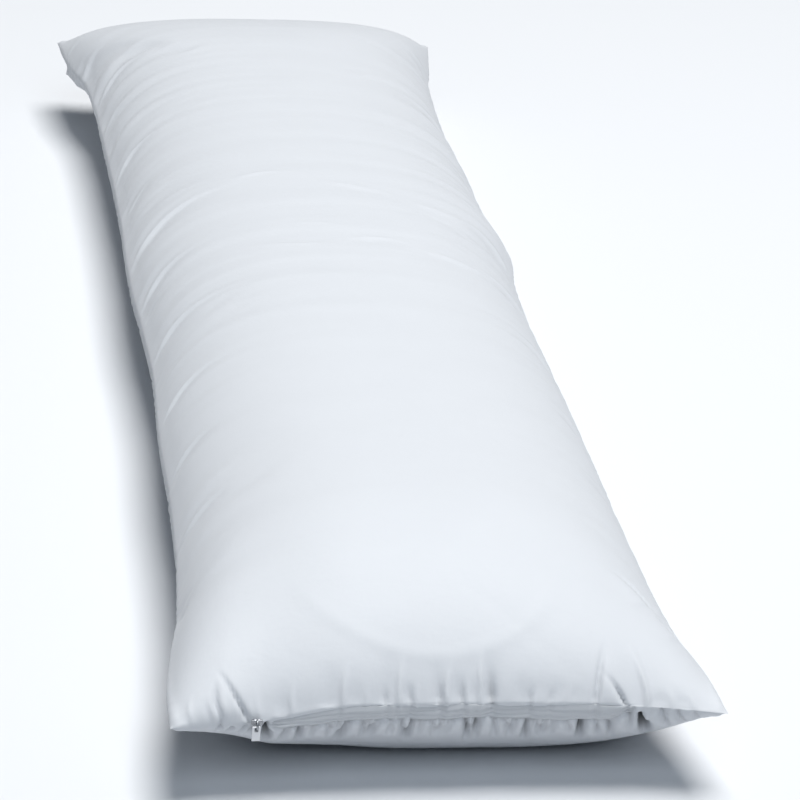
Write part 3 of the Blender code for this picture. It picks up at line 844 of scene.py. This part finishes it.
def cloth_material(name, look, shade):
    """Brushed microfibre: fine weave, uneven tone, soft sheen, painted shade in tucks and a painted
    shade factor.
    """
    made = bpy.data.materials.new(name)
    made.use_nodes = True
    tree = made.node_tree
    link = tree.links.new
    shader = tree.nodes["Principled BSDF"]
    shader.inputs["Roughness"].default_value = look.roughness
    shader.inputs["Sheen Weight"].default_value = look.sheen
    shader.inputs["Sheen Roughness"].default_value = 0.4
    shader.inputs["Specular IOR Level"].default_value = 0.3
    cloth = tree.nodes.new("ShaderNodeUVMap")
    cloth.uv_map = "cloth"
    cloud = add_node(tree, "ShaderNodeTexNoise", Scale=22.0, Detail=3.0, Roughness=0.55)
    link(cloth.outputs["UV"], cloud.inputs["Vector"])
    # All three colours are darkened by the painted shade factor; the third is the shade painted
    # into a deep tuck.
    dark, light, painted_tuck_colour = (
        [part * shade * tone for part in look.colour]
        for tone in (TONE_DARK, TONE_LIGHT, PAINTED_TUCK_SHADE))
    base = mix_colours(tree, cloud.outputs["Fac"], dark, light)
    # Painted shade: deep tucks are darkened towards the tuck's shade colour.
    tucked = tree.nodes.new("ShaderNodeAttribute")
    tucked.attribute_name = "tucked"
    link(mix_colours(tree, tucked.outputs["Fac"], base, painted_tuck_colour), shader.inputs["Base Color"])
    both = tree.nodes.new("ShaderNodeMath")
    both.operation = "MULTIPLY"
    for place, direction, threads in (
        (0, "X", look.threads), (1, "Y", WEFT_SHARE * look.threads)
    ):
        wave = add_node(tree, "ShaderNodeTexWave", Scale=ONE_BAND * threads,
                        Distortion=0.6, Detail=1.0, Detail_Scale=0.8)
        wave.bands_direction = direction
        link(cloth.outputs["UV"], wave.inputs["Vector"])
        link(wave.outputs["Fac"], both.inputs[place])
    weave = add_node(tree, "ShaderNodeBump", Strength=0.25, Distance=0.00012)
    link(both.outputs["Value"], weave.inputs["Height"])
    nap = add_node(tree, "ShaderNodeTexNoise", Scale=160.0, Detail=4.0, Roughness=0.6)
    link(cloth.outputs["UV"], nap.inputs["Vector"])
    soft = add_node(tree, "ShaderNodeBump", Strength=0.35, Distance=0.0004)
    link(nap.outputs["Fac"], soft.inputs["Height"])
    link(weave.outputs["Normal"], soft.inputs["Normal"])
    link(soft.outputs["Normal"], shader.inputs["Normal"])
    return made


def metal_material(name, colour, roughness):
    """Plated zinc, very slightly uneven."""
    made = bpy.data.materials.new(name)
    made.use_nodes = True
    tree = made.node_tree
    shader = tree.nodes["Principled BSDF"]
    shader.inputs["Base Color"].default_value = (*colour, 1.0)
    shader.inputs["Metallic"].default_value = 1.0
    shader.inputs["Roughness"].default_value = roughness
    place = tree.nodes.new("ShaderNodeTexCoord")
    grain = add_node(tree, "ShaderNodeTexNoise", Scale=900.0, Detail=3.0)
    bump = add_node(tree, "ShaderNodeBump", Strength=0.2, Distance=0.00005)
    tree.links.new(place.outputs["Object"], grain.inputs["Vector"])
    tree.links.new(grain.outputs["Fac"], bump.inputs["Height"])
    tree.links.new(bump.outputs["Normal"], shader.inputs["Normal"])
    return made


def lay_cloth_map(made, places):
    """Stores each vertex's place on the flat cloth, in metres, as the map named cloth."""
    layer = made.data.uv_layers.new(name="cloth")
    corners = np.empty(len(made.data.loops), dtype=np.int32)
    made.data.loops.foreach_get("vertex_index", corners)
    layer.data.foreach_set("uv", places[corners].ravel())


def smooth_faces(made):
    """Shades all of a mesh smooth."""
    made.data.polygons.foreach_set("use_smooth", [True] * len(made.data.polygons))


# The finished casing's grid, in metres: steps inwards from the side seams and from the ends, the
# even steps between, and in how many parts each step across is cut.
SIDE_STEPS, SIDE_EVEN, SIDE_PARTS = (0.0018, 0.0024, 0.0034, 0.0048, 0.006), 0.0072, 4
END_STEPS, END_EVEN = (0.0006, 0.0008, 0.0011, 0.0015) + (0.0018,) * 31, 0.0017
# Each row takes every nth column: all of them, every second, or as few as the middle has. These are
# how far in from an end both panels take them all, the top every second, and the belly more.
Limits = namedtuple("Limits", "every top_second belly_more")
ZIP_LIMITS, FAR_LIMITS = Limits(0.058, 0.150, 0.078), Limits(0.0, 0.040, 0.050)
TOP_STRIDE, BELLY_STRIDE = 4, 8
# Where the rows start to bow, in from an end, and the rows that the bowed ones are read from.
BOW_INWARD, DENSE_ROWS = Fade(0.09, 0.22), 2401


def fine_grid():
    """The grid of the finished casing: close rows that bow along with the side creases."""
    half_wide, half_long = cut_places(1.0, 1.0)
    columns = edge_steps(half_wide, SIDE_STEPS, SIDE_EVEN, SIDE_PARTS)
    rows = edge_steps(half_long, END_STEPS, END_EVEN)
    end = half_long * (1.0 - np.abs(rows))
    top, belly = [TOP_STRIDE] * len(rows), [BELLY_STRIDE] * len(rows)
    for i, away in enumerate(end):
        limits = ZIP_LIMITS if rows[i] < 0.0 else FAR_LIMITS
        if away < limits.top_second:
            top[i] = 1 if away < limits.every else 2
        if away < limits.belly_more:
            belly[i] = min(TOP_STRIDE, 2 * top[i]) if away >= limits.every else top[i]
    grid = Grid(columns, rows, top, belly)
    bow = ROW_BOW * (1.0 - np.exp(-(1.0 - np.abs(columns)) * half_wide / ROW_BOW_REACH))
    share = fade(end, BOW_INWARD)
    grid.bowed = rows[:, None] + share[:, None] * bow / half_long
    return grid


def bowed_panels(grid):
    """The plain panels at the grid's bowed rows."""
    dense = np.unique(np.concatenate([grid.t, np.linspace(-1.0, 1.0, DENSE_ROWS)]))
    made = []
    for upper in (True, False):
        points = panel_points(*cloth_to_shape(grid.s, dense, upper), upper)
        panel = np.empty((*grid.size, 3))
        for column in range(grid.size[1]):
            for axis in range(3):
                panel[:, column, axis] = np.interp(
                    grid.bowed[:, column], dense, points[:, column, axis])
        made.append(panel)
    return made


# How much of the pleats the zip's seam follows, how far below it the cloth goes along, and how
# soon above it the pleats have their whole height.
RIM_SHARE, RIM_REACH, RIM_ABOVE = 0.6, 0.010, Fade(0.0, 0.006)
# Shade is painted into a tuck from this depth on, growing over these depths: at the rim, above it,
# and in the belly.
TUCK_SHADE_FROM, RIM_TUCK_SHADE, TOP_TUCK_SHADE, BELLY_TUCK_SHADE = 0.0008, 0.009, 0.010, 0.014
# The belly's gathers at the seam, where its side creases end, and how flat it is on the floor.
GATHERS_AT_SEAM, BELLY_SIDES = Fade(0.0, 0.0025, 0.1), Fade(0.01, 0.05, 1.0, 0.0)
OFF_FLOOR = Fade(0.001, 0.02)


def tuck_shade_share(lift, reach):
    """How much shade is painted into a deep tuck, from 0 to 1."""
    return fade(-lift, Fade(TUCK_SHADE_FROM, reach))


def rim_dip(x, below):
    """The pleats of the top panel at the zip's seam, carried on under it."""
    y = np.full_like(x, -0.5 * bpy.context.scene.pillow_shape.cut_length)
    return RIM_SHARE * creases_lift(ZIP_END_CREASES, x, y, PLEAT) * falloff(below, RIM_REACH)


def creased(plain, upper, x, y):
    """One panel's relief: its height over the plain shape, and how much shade is painted into its
    tucks.
    """
    side, end = from_edges(x, y)
    slopes = creases_lift(SIDE_CREASES, x, y, FOLD) + drapes(x, y)
    far = creases_lift(FAR_END_CREASES, x, y, END_FOLD)
    if upper:
        own = creases_lift(CROWN_CREASES, x, y, FOLD) + pad_edge(x, y)
        pleats = creases_lift(ZIP_END_CREASES, x, y, PLEAT)
        above = fade(end, RIM_ABOVE)
        lift = slopes + far + own + (RIM_SHARE + (1.0 - RIM_SHARE) * above) * pleats
        lift = lift + seam_shape(x, y) + zip_shape(x, y, True)
        return lift, tuck_shade_share(pleats, RIM_TUCK_SHADE + (TOP_TUCK_SHADE - RIM_TUCK_SHADE) * above)
    own = creases_lift((*BELLY_CREASES, *gathers()), x, y, GATHER) * fade(end, GATHERS_AT_SEAM)
    lift = slopes * fade(side, BELLY_SIDES) + far + own
    lift = lift + seam_shape(x, y) + zip_shape(x, y, False)
    lift = lift + rim_dip(x, 0.5 * bpy.context.scene.pillow_shape.cut_length + y)
    return lift * fade(plain[..., 2], OFF_FLOOR), tuck_shade_share(own, BELLY_TUCK_SHADE)


# The simulation's own grid, the cells over which its ripple is told from its swelling, and where
# the ripple fades: towards the ends and the seam, at the far and near parts, and far right.
SIM_COLUMNS, SIM_ROWS, RIPPLE_CELLS = 55, 195, 4
RIPPLE_ENDS, RIPPLE_SEAM = Fade(0.03, 0.13, 0.2), Fade(0.0, 0.012)
RIPPLE_FAR, RIPPLE_NEAR = Fade(0.72, 0.16, 1.0, 0.3), Fade(-0.6, 0.6, 0.25)
RIPPLE_FAR_RIGHT = (Fade(0.0, 0.3, 0.0, 0.6), Fade(0.24, 0.26))


def ripple_kept(s, t):
    """The share of the simulated ripple that each place of a panel keeps."""
    side, end = cut_places(1.0 - np.abs(s), 1.0 - np.abs(t))
    kept = fade(end, RIPPLE_ENDS) * fade(np.minimum(end, side), RIPPLE_SEAM)
    kept = kept * fade(t, RIPPLE_FAR) * fade(t, RIPPLE_NEAR)
    kept = kept * (1.0 - fade(s, RIPPLE_FAR_RIGHT[0]) * fade(t, RIPPLE_FAR_RIGHT[1]))
    return bpy.context.scene.pillow_shape.crumple * kept


# One finished panel: its places, the directions out of it, its relief and the shade painted into
# its tucks.
Panel = namedtuple("Panel", "places out lift tucked")


def sew_rims(top, belly):
    """Makes both panels agree along the seam; the zip's edge follows the top panel."""
    rim = np.zeros(top.lift.shape, bool)
    rim[0] = rim[-1] = rim[:, 0] = rim[:, -1] = True
    out = top.out[rim] + belly.out[rim]
    out /= np.maximum(np.linalg.norm(out, axis=-1, keepdims=True), NO_LENGTH)
    top.out[rim] = belly.out[rim] = out
    lift = 0.5 * (top.lift + belly.lift)
    lift[0] = top.lift[0]
    top.lift[rim] = belly.lift[rim] = lift[rim]
    top.places[rim] = belly.places[rim] = 0.5 * (top.places[rim] + belly.places[rim])


def build_casing():
    """The filled casing: the plain shape, the simulated ripple and the listed folds."""
    coarse = Grid(np.linspace(-1.0, 1.0, SIM_COLUMNS), np.linspace(-1.0, 1.0, SIM_ROWS))
    start = [
        panel_points(*cloth_to_shape(coarse.s, coarse.t, upper), upper) for upper in (True, False)]
    moves = inflate(coarse, *start)
    fine = fine_grid()
    s, t = np.broadcast_arrays(fine.s, fine.bowed)
    x, y = cut_places(s, t)
    panels = []
    for upper, move, plain in zip((True, False), moves, bowed_panels(fine)):
        ripple = resample(move - smoothed(move, RIPPLE_CELLS), coarse, fine)
        places = plain + ripple_kept(s, t)[..., None] * ripple
        panels.append(Panel(places, panel_normals(plain, upper), *creased(plain, upper, x, y)))
    sew_rims(*panels)
    top, belly = (panel.places + panel.out * panel.lift[..., None] for panel in panels)
    belly[..., 2] = np.maximum(belly[..., 2], 0.0)
    casing = mesh_object("pillow_casing", fine.join(top, belly), fine.faces())
    smooth_faces(casing)
    flat = np.stack([x, y], axis=-1)
    lay_cloth_map(casing, fine.join(flat, flat))
    # The shade painted into deep tucks, stored on the casing's points for its material.
    tucked = casing.data.attributes.new("tucked", "FLOAT", "POINT")
    dark = fine.join(*(panel.tucked[..., None] for panel in panels))
    tucked.data.foreach_set("value", dark.ravel())
    casing.data.materials.append(
        cloth_material("casing_cloth", bpy.context.scene.pillow_cloth, 1.0))
    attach(casing, "root")
    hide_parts("pillow")


# The cloth flap that covers the zip: its section from the seam down, as shares of its depth
# and heights over the lower panel.
Section = namedtuple("Section", "down height")
FLAP_SECTION = (
    Section(0.00, -0.0010), Section(0.01, -0.0008), Section(0.05, -0.0002), Section(0.10, 0.0002),
    Section(0.16, 0.0006), Section(0.21, 0.0002), Section(0.26, 0.0007), Section(0.38, 0.0011),
    Section(0.48, 0.0009), Section(0.53, 0.0006), Section(0.58, 0.0010), Section(0.70, 0.0014),
    Section(0.82, 0.0014), Section(0.87, 0.0009), Section(0.92, 0.0013), Section(0.98, 0.0009),
    Section(1.00, 0.0004), Section(0.99, -0.0001), Section(0.90, -0.0005), Section(0.70, -0.0007),
    Section(0.40, -0.0008), Section(0.15, -0.0009),
)
# Its steps along, how far inside its ends its skin stops, the rows of the lower panel that it is
# laid over and how far down they go, in its own depths, and the painted shade that darkens its
# colour beside the casing's.
FLAP_STEP, FLAP_INSET, FLAP_ROWS, FLAP_COVER, FLAP_SHADE = 0.0022, 0.001, 24, 1.4, 0.87
# Its waves: small ones at its free edge, soft ones all over, and rays at its two ends, whose
# reach is the left's and the right's. At both ends it is pressed flat to the casing. A wave has its
# height, its lengths over 2 pi, and how far it drifts or turns over the flap's depth.
EDGE_WAVE, EDGE_LENGTHS, EDGE_DRIFT = 0.00035, (0.0052, 0.017), 1.5
SOFT_WAVE, SOFT_LENGTHS, SOFT_TURN = 0.0009, (0.014, 0.031), 3.0
RAY_WAVE, RAY_LENGTH, RAY_TURN = 0.0006, 0.008, 15.0
RAY_REACH, FLAP_SUNK, FLAT_ENDS = (0.022, 0.016), 0.0008, Fade(0.0, 0.008)
# The share of its height that its pressed ends keep.
FLAT_SHARE = 0.1


def at_depth(field, down, want):
    """A field over a panel's rows, read in each column at that column's own depth."""
    return np.array([
        [np.interp(want[i], down, field[:, i, k]) for k in range(3)] for i in range(len(want))])


def flap_height(part, x):
    """How far that part of the flap's section stands over the lower panel."""
    drift = EDGE_DRIFT * np.sin(x / EDGE_LENGTHS[1])
    wave = EDGE_WAVE * part.down * np.sin(x / EDGE_LENGTHS[0] + drift)
    drift = np.sin(x / SOFT_LENGTHS[1])
    wave = wave + SOFT_WAVE * np.sin(SOFT_TURN * part.down + x / SOFT_LENGTHS[0] + drift)
    ray = np.exp(-(x - FLAP_FROM) / RAY_REACH[0]) + np.exp(-(FLAP_TO - x) / RAY_REACH[1])
    wave = wave + RAY_WAVE * ray * np.sin(RAY_TURN * part.down + x / RAY_LENGTH)
    free = fade(x - FLAP_FROM, FLAT_ENDS) * fade(FLAP_TO - x, FLAT_ENDS)
    share = FLAT_SHARE + (1.0 - FLAT_SHARE) * free
    return (part.height + FLAP_SUNK + wave) * share - FLAP_SUNK


def build_flap():
    """The pressed strip of cloth over the zip, as one closed skin round its section."""
    half_wide, half_long = cut_places(1.0, 1.0)
    count = int((FLAP_TO - FLAP_FROM) / FLAP_STEP)
    x = np.linspace(FLAP_FROM + FLAP_INSET, FLAP_TO - FLAP_INSET, count)
    down = np.linspace(0.0, FLAP_COVER * FLAP_DEEP, FLAP_ROWS)
    across, along = cloth_to_shape(x / half_wide, down / half_long - 1.0, False)
    surface = panel_points(across, along, False)
    out = panel_normals(surface, False)
    depth = np.array([part.down * flap_depth(x) for part in FLAP_SECTION])
    rings = []
    for part, want in zip(FLAP_SECTION, depth):
        face = at_depth(out, down, want)
        face /= np.linalg.norm(face, axis=1, keepdims=True)
        height = flap_height(part, x) + rim_dip(x, want)
        rings.append(at_depth(surface, down, want) + face * height[:, None])
    size = len(FLAP_SECTION)
    faces = []
    for i in range(size):
        j = (i + 1) % size
        faces += [(i * count + k, i * count + k + 1, j * count + k + 1, j * count + k)
                  for k in range(count - 1)]
    faces.append(tuple(i * count for i in range(size)))
    faces.append(tuple(i * count + count - 1 for i in reversed(range(size))))
    flap = mesh_object("zip_flap_cloth", np.array(rings).reshape(-1, 3), faces)
    set_outward(flap)
    smooth_faces(flap)
    flat = np.stack(np.broadcast_arrays(x[None, :], depth), axis=-1)
    lay_cloth_map(flap, flat.reshape(-1, 2))
    # The flap's colour is the casing's, darkened by painted shade.
    flap.data.materials.append(
        cloth_material("flap_cloth_painted_shade", bpy.context.scene.pillow_cloth, FLAP_SHADE))
    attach(flap, "root")
    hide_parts("zip_flap")


def set_outward(made):
    """Turns all of a mesh's faces out."""
    work = bmesh.new()
    work.from_mesh(made.data)
    bmesh.ops.recalc_face_normals(work, faces=work.faces)
    work.to_mesh(made.data)
    work.free()


# The zip's slider: where it sits, its body's size, the share of that width in its stem, the wing's
# shares of the body's depth and height, how far up and back it sits, and the bridge's ring.
SLIDER_AT = (-0.13225, -0.69500, 0.05760)
SLIDER_BODY, STEM_WIDE = (0.0078, 0.0028, 0.0086), 0.72
WING_DEEP, WING_TALL, WING_UP, WING_BACK = 0.8, 0.45, 0.22, 0.0002
BRIDGE_RADIUS, BRIDGE_THICK, BRIDGE_UP, BRIDGE_SEGMENTS = 0.0030, 0.0009, 0.0006, (40, 14)
# Its pull tab, the hole at its top, and how many degrees it leans.
PULL_AT = (-0.13300, -0.69860, 0.05260)
PULL_PLATE = (0.0060, 0.0010, 0.0120)
PULL_HOLE, HOLE_UP, HOLE_BACK = (0.0028, 0.0040, 0.0036), 0.30, 0.0005
PULL_LEAN = 7.0
# How round their edges are, and each one's colour and roughness.
SLIDER_ROUND, PULL_ROUND, HOLE_ROUND = 0.0009, 0.0005, 0.0008
BEVEL_SEGMENTS, SHARP_ANGLE = 4, 40.0
SLIDER_ZINC, PULL_ZINC = ((0.34, 0.35, 0.37), 0.35), ((0.62, 0.63, 0.65), 0.5)


def apply_modifier(made, kind, **settings):
    """Adds a modifier to an object and applies it."""
    deselect()
    bpy.context.view_layer.objects.active = made
    made.select_set(True)
    modifier = made.modifiers.new(kind.lower(), kind)
    for name, value in settings.items():
        setattr(modifier, name, value)
    check_done(bpy.ops.object.modifier_apply(modifier=modifier.name))


def rounded_block(name, size, place, rounding, lean=0.0):
    """A block with rounded edges, its place and lean in its mesh."""
    deselect()
    check_done(bpy.ops.mesh.primitive_cube_add(
        size=1.0, location=place, rotation=(math.radians(lean), 0.0, 0.0)))
    made = bpy.context.object
    made.name = name
    made.scale = size
    check_done(bpy.ops.object.transform_apply(location=False, rotation=False, scale=True))
    apply_modifier(made, "BEVEL", width=rounding, segments=BEVEL_SEGMENTS)
    check_done(bpy.ops.object.transform_apply(location=True, rotation=True, scale=True))
    return made


def join_parts(parts, name):
    """Makes one piece of its parts, with its sharper edges kept sharp."""
    deselect()
    for part in parts:
        part.select_set(True)
    bpy.context.view_layer.objects.active = parts[0]
    if len(parts) > 1:
        check_done(bpy.ops.object.join())
    made = bpy.context.object
    made.name = name
    deselect()
    made.select_set(True)
    check_done(bpy.ops.object.shade_smooth_by_angle(angle=math.radians(SHARP_ANGLE)))
    return made


def build_slider():
    """The slider: a stem, a wider wing at its top, and the bridge that holds the pull tab."""
    x, y, z = SLIDER_AT
    wide, deep, tall = SLIDER_BODY
    body = rounded_block("slider_body", (wide * STEM_WIDE, deep, tall), SLIDER_AT, SLIDER_ROUND)
    wing = rounded_block("slider_wing", (wide, deep * WING_DEEP, tall * WING_TALL),
                         (x, y + WING_BACK, z + tall * WING_UP), SLIDER_ROUND)
    deselect()
    check_done(bpy.ops.mesh.primitive_torus_add(
        location=(x, y - deep * 0.5, z + BRIDGE_UP), rotation=(0.0, math.radians(90.0), 0.0),
        major_radius=BRIDGE_RADIUS, minor_radius=BRIDGE_THICK,
        major_segments=BRIDGE_SEGMENTS[0], minor_segments=BRIDGE_SEGMENTS[1]))
    bridge = bpy.context.object
    check_done(bpy.ops.object.transform_apply(location=True, rotation=True, scale=True))
    slider = join_parts([body, wing, bridge], "zip_slider_metal")
    slider.data.materials.append(metal_material("slider_zinc", *SLIDER_ZINC))
    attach(slider, "root")
    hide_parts("zip_slider")


def build_pull():
    """The pull tab: a rounded plate with a hole for the bridge."""
    x, y, z = PULL_AT
    plate = rounded_block("pull_plate", PULL_PLATE, PULL_AT, PULL_ROUND, PULL_LEAN)
    hole = rounded_block("pull_hole", PULL_HOLE, (x, y + HOLE_BACK, z + HOLE_UP * PULL_PLATE[2]),
                         HOLE_ROUND, PULL_LEAN)
    apply_modifier(plate, "BOOLEAN", object=hole, operation="DIFFERENCE", solver="EXACT")
    bpy.data.objects.remove(hole, do_unlink=True)
    pull = join_parts([plate], "zip_pull_tab")
    pull.data.materials.append(metal_material("pull_zinc", *PULL_ZINC))
    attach(pull, "root")
    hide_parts("zip_pull")


# The studio: the camera in degrees, millimetres and metres, the floor, and the room's own light.
CAMERA_AZIMUTH, CAMERA_ELEVATION, CAMERA_ROLL = -9.55, 24.05, 3.72
CAMERA_LENS, CAMERA_SENSOR, CAMERA_DISTANCE, CAMERA_CLIP = 160.69, 36.0, 2.8857, 60.0
CAMERA_TARGET = (0.0358, -0.1912, 0.07)
FLOOR_SIZE, FLOOR_DROP, FLOOR_COLOUR = 24.0, 0.0006, (0.680, 0.695, 0.720, 1.0)
ROOM_COLOUR = (0.72, 0.86, 1.0, 1.0)
Softbox = namedtuple("Softbox", "name x y z size share colour")
SOFTBOXES = (
    Softbox("overhead", 0.7, 0.1, 6.0, 3.2, 1.0, (1.0, 0.993, 0.98)),
    Softbox("front_fill", 0.1, -4.8, 5.0, 4.0, 0.275, (0.82, 0.91, 1.0)),
)


def add_softbox(row, power):
    """A square light of that size in metres, aimed at the middle of the floor."""
    light = bpy.data.lights.new(row.name, "AREA")
    light.shape = "SQUARE"
    light.size = row.size
    light.energy = power
    light.color = row.colour
    lamp = bpy.data.objects.new(row.name, light)
    lamp.location = (row.x, row.y, row.z)
    lamp.rotation_mode = "QUATERNION"
    lamp.rotation_quaternion = (-lamp.location).to_track_quat("-Z", "Y")
    bpy.context.collection.objects.link(lamp)


def add_camera():
    """The camera at the photograph's angle."""
    azimuth, elevation = math.radians(CAMERA_AZIMUTH), math.radians(CAMERA_ELEVATION)
    back = Vector((
        math.sin(azimuth) * math.cos(elevation),
        -math.cos(azimuth) * math.cos(elevation),
        math.sin(elevation),
    ))
    data = bpy.data.cameras.new("camera")
    data.lens = CAMERA_LENS
    data.sensor_width = CAMERA_SENSOR
    data.clip_end = CAMERA_CLIP
    camera = bpy.data.objects.new("camera", data)
    bpy.context.collection.objects.link(camera)
    camera.rotation_mode = "QUATERNION"
    turn = (-back).to_track_quat("-Z", "Y")
    roll = Matrix.Rotation(math.radians(CAMERA_ROLL), 4, back)
    camera.rotation_quaternion = (roll @ turn.to_matrix().to_4x4()).to_quaternion()
    camera.location = Vector(CAMERA_TARGET) + back * CAMERA_DISTANCE
    bpy.context.scene.camera = camera


def build_studio():
    """The pale floor, the softboxes, the room's own light and the camera."""
    studio = bpy.context.scene.pillow_studio
    deselect()
    check_done(bpy.ops.mesh.primitive_plane_add(size=FLOOR_SIZE, location=(0.0, 0.0, -FLOOR_DROP)))
    floor = bpy.context.object
    floor.name = "studio_floor"
    paper = bpy.data.materials.new("floor_paper")
    paper.use_nodes = True
    shader = paper.node_tree.nodes["Principled BSDF"]
    shader.inputs["Base Color"].default_value = FLOOR_COLOUR
    shader.inputs["Roughness"].default_value = 0.9
    shader.inputs["Specular IOR Level"].default_value = 0.1
    floor.data.materials.append(paper)
    for row in SOFTBOXES:
        add_softbox(row, studio.key * row.share)
    world = bpy.data.worlds.new("room")
    world.use_nodes = True
    light = world.node_tree.nodes["Background"]
    light.inputs["Color"].default_value = ROOM_COLOUR
    light.inputs["Strength"].default_value = studio.sky
    bpy.context.scene.world = world
    add_camera()
    bpy.context.scene.view_settings.view_transform = "Standard"


class PILLOW_OT_casing(bpy.types.Operator):
    """Builds the filled casing with its folds and seams"""

    bl_idname = "pillow.casing"
    bl_label = "Casing"

    def execute(self, context):
        build_casing()
        return {"FINISHED"}


class PILLOW_OT_flap(bpy.types.Operator):
    """Adds the cloth flap over the zip"""

    bl_idname = "pillow.flap"
    bl_label = "Zip flap"

    def execute(self, context):
        build_flap()
        return {"FINISHED"}


class PILLOW_OT_zip(bpy.types.Operator):
    """Adds the zip's slider and its pull tab"""

    bl_idname = "pillow.zip"
    bl_label = "Slider and pull tab"

    def execute(self, context):
        build_slider()
        build_pull()
        return {"FINISHED"}


class PILLOW_OT_studio(bpy.types.Operator):
    """Adds the floor, the soft light and the camera"""

    bl_idname = "pillow.studio"
    bl_label = "Studio"

    def execute(self, context):
        build_studio()
        return {"FINISHED"}


class PILLOW_PT_panel(bpy.types.Panel):
    """Lists the steps that build the pillow"""

    bl_label = "Body Pillow"
    bl_idname = "PILLOW_PT_panel"
    bl_space_type = "VIEW_3D"
    bl_region_type = "UI"
    bl_category = "Pillow"

    def draw(self, context):
        for operator in (PILLOW_OT_casing, PILLOW_OT_flap, PILLOW_OT_zip, PILLOW_OT_studio):
            self.layout.operator(operator.bl_idname)


CLASSES = (
    PillowShape, PillowCloth, PillowStudio, PILLOW_OT_casing, PILLOW_OT_flap, PILLOW_OT_zip,
    PILLOW_OT_studio, PILLOW_PT_panel,
)


def register():
    """Adds the classes and their settings to Blender."""
    for kind in CLASSES:
        bpy.utils.register_class(kind)
    bpy.types.Scene.pillow_shape = PointerProperty(type=PillowShape)
    bpy.types.Scene.pillow_cloth = PointerProperty(type=PillowCloth)
    bpy.types.Scene.pillow_studio = PointerProperty(type=PillowStudio)


def unregister():
    """Takes them out again."""
    del bpy.types.Scene.pillow_shape
    del bpy.types.Scene.pillow_cloth
    del bpy.types.Scene.pillow_studio
    for kind in reversed(CLASSES):
        bpy.utils.unregister_class(kind)


def main():
    """Builds everything in order."""
    register()
    bpy.ops.pillow.casing()
    bpy.ops.pillow.flap()
    bpy.ops.pillow.zip()
    bpy.ops.pillow.studio()


if __name__ == "__main__":
    main()
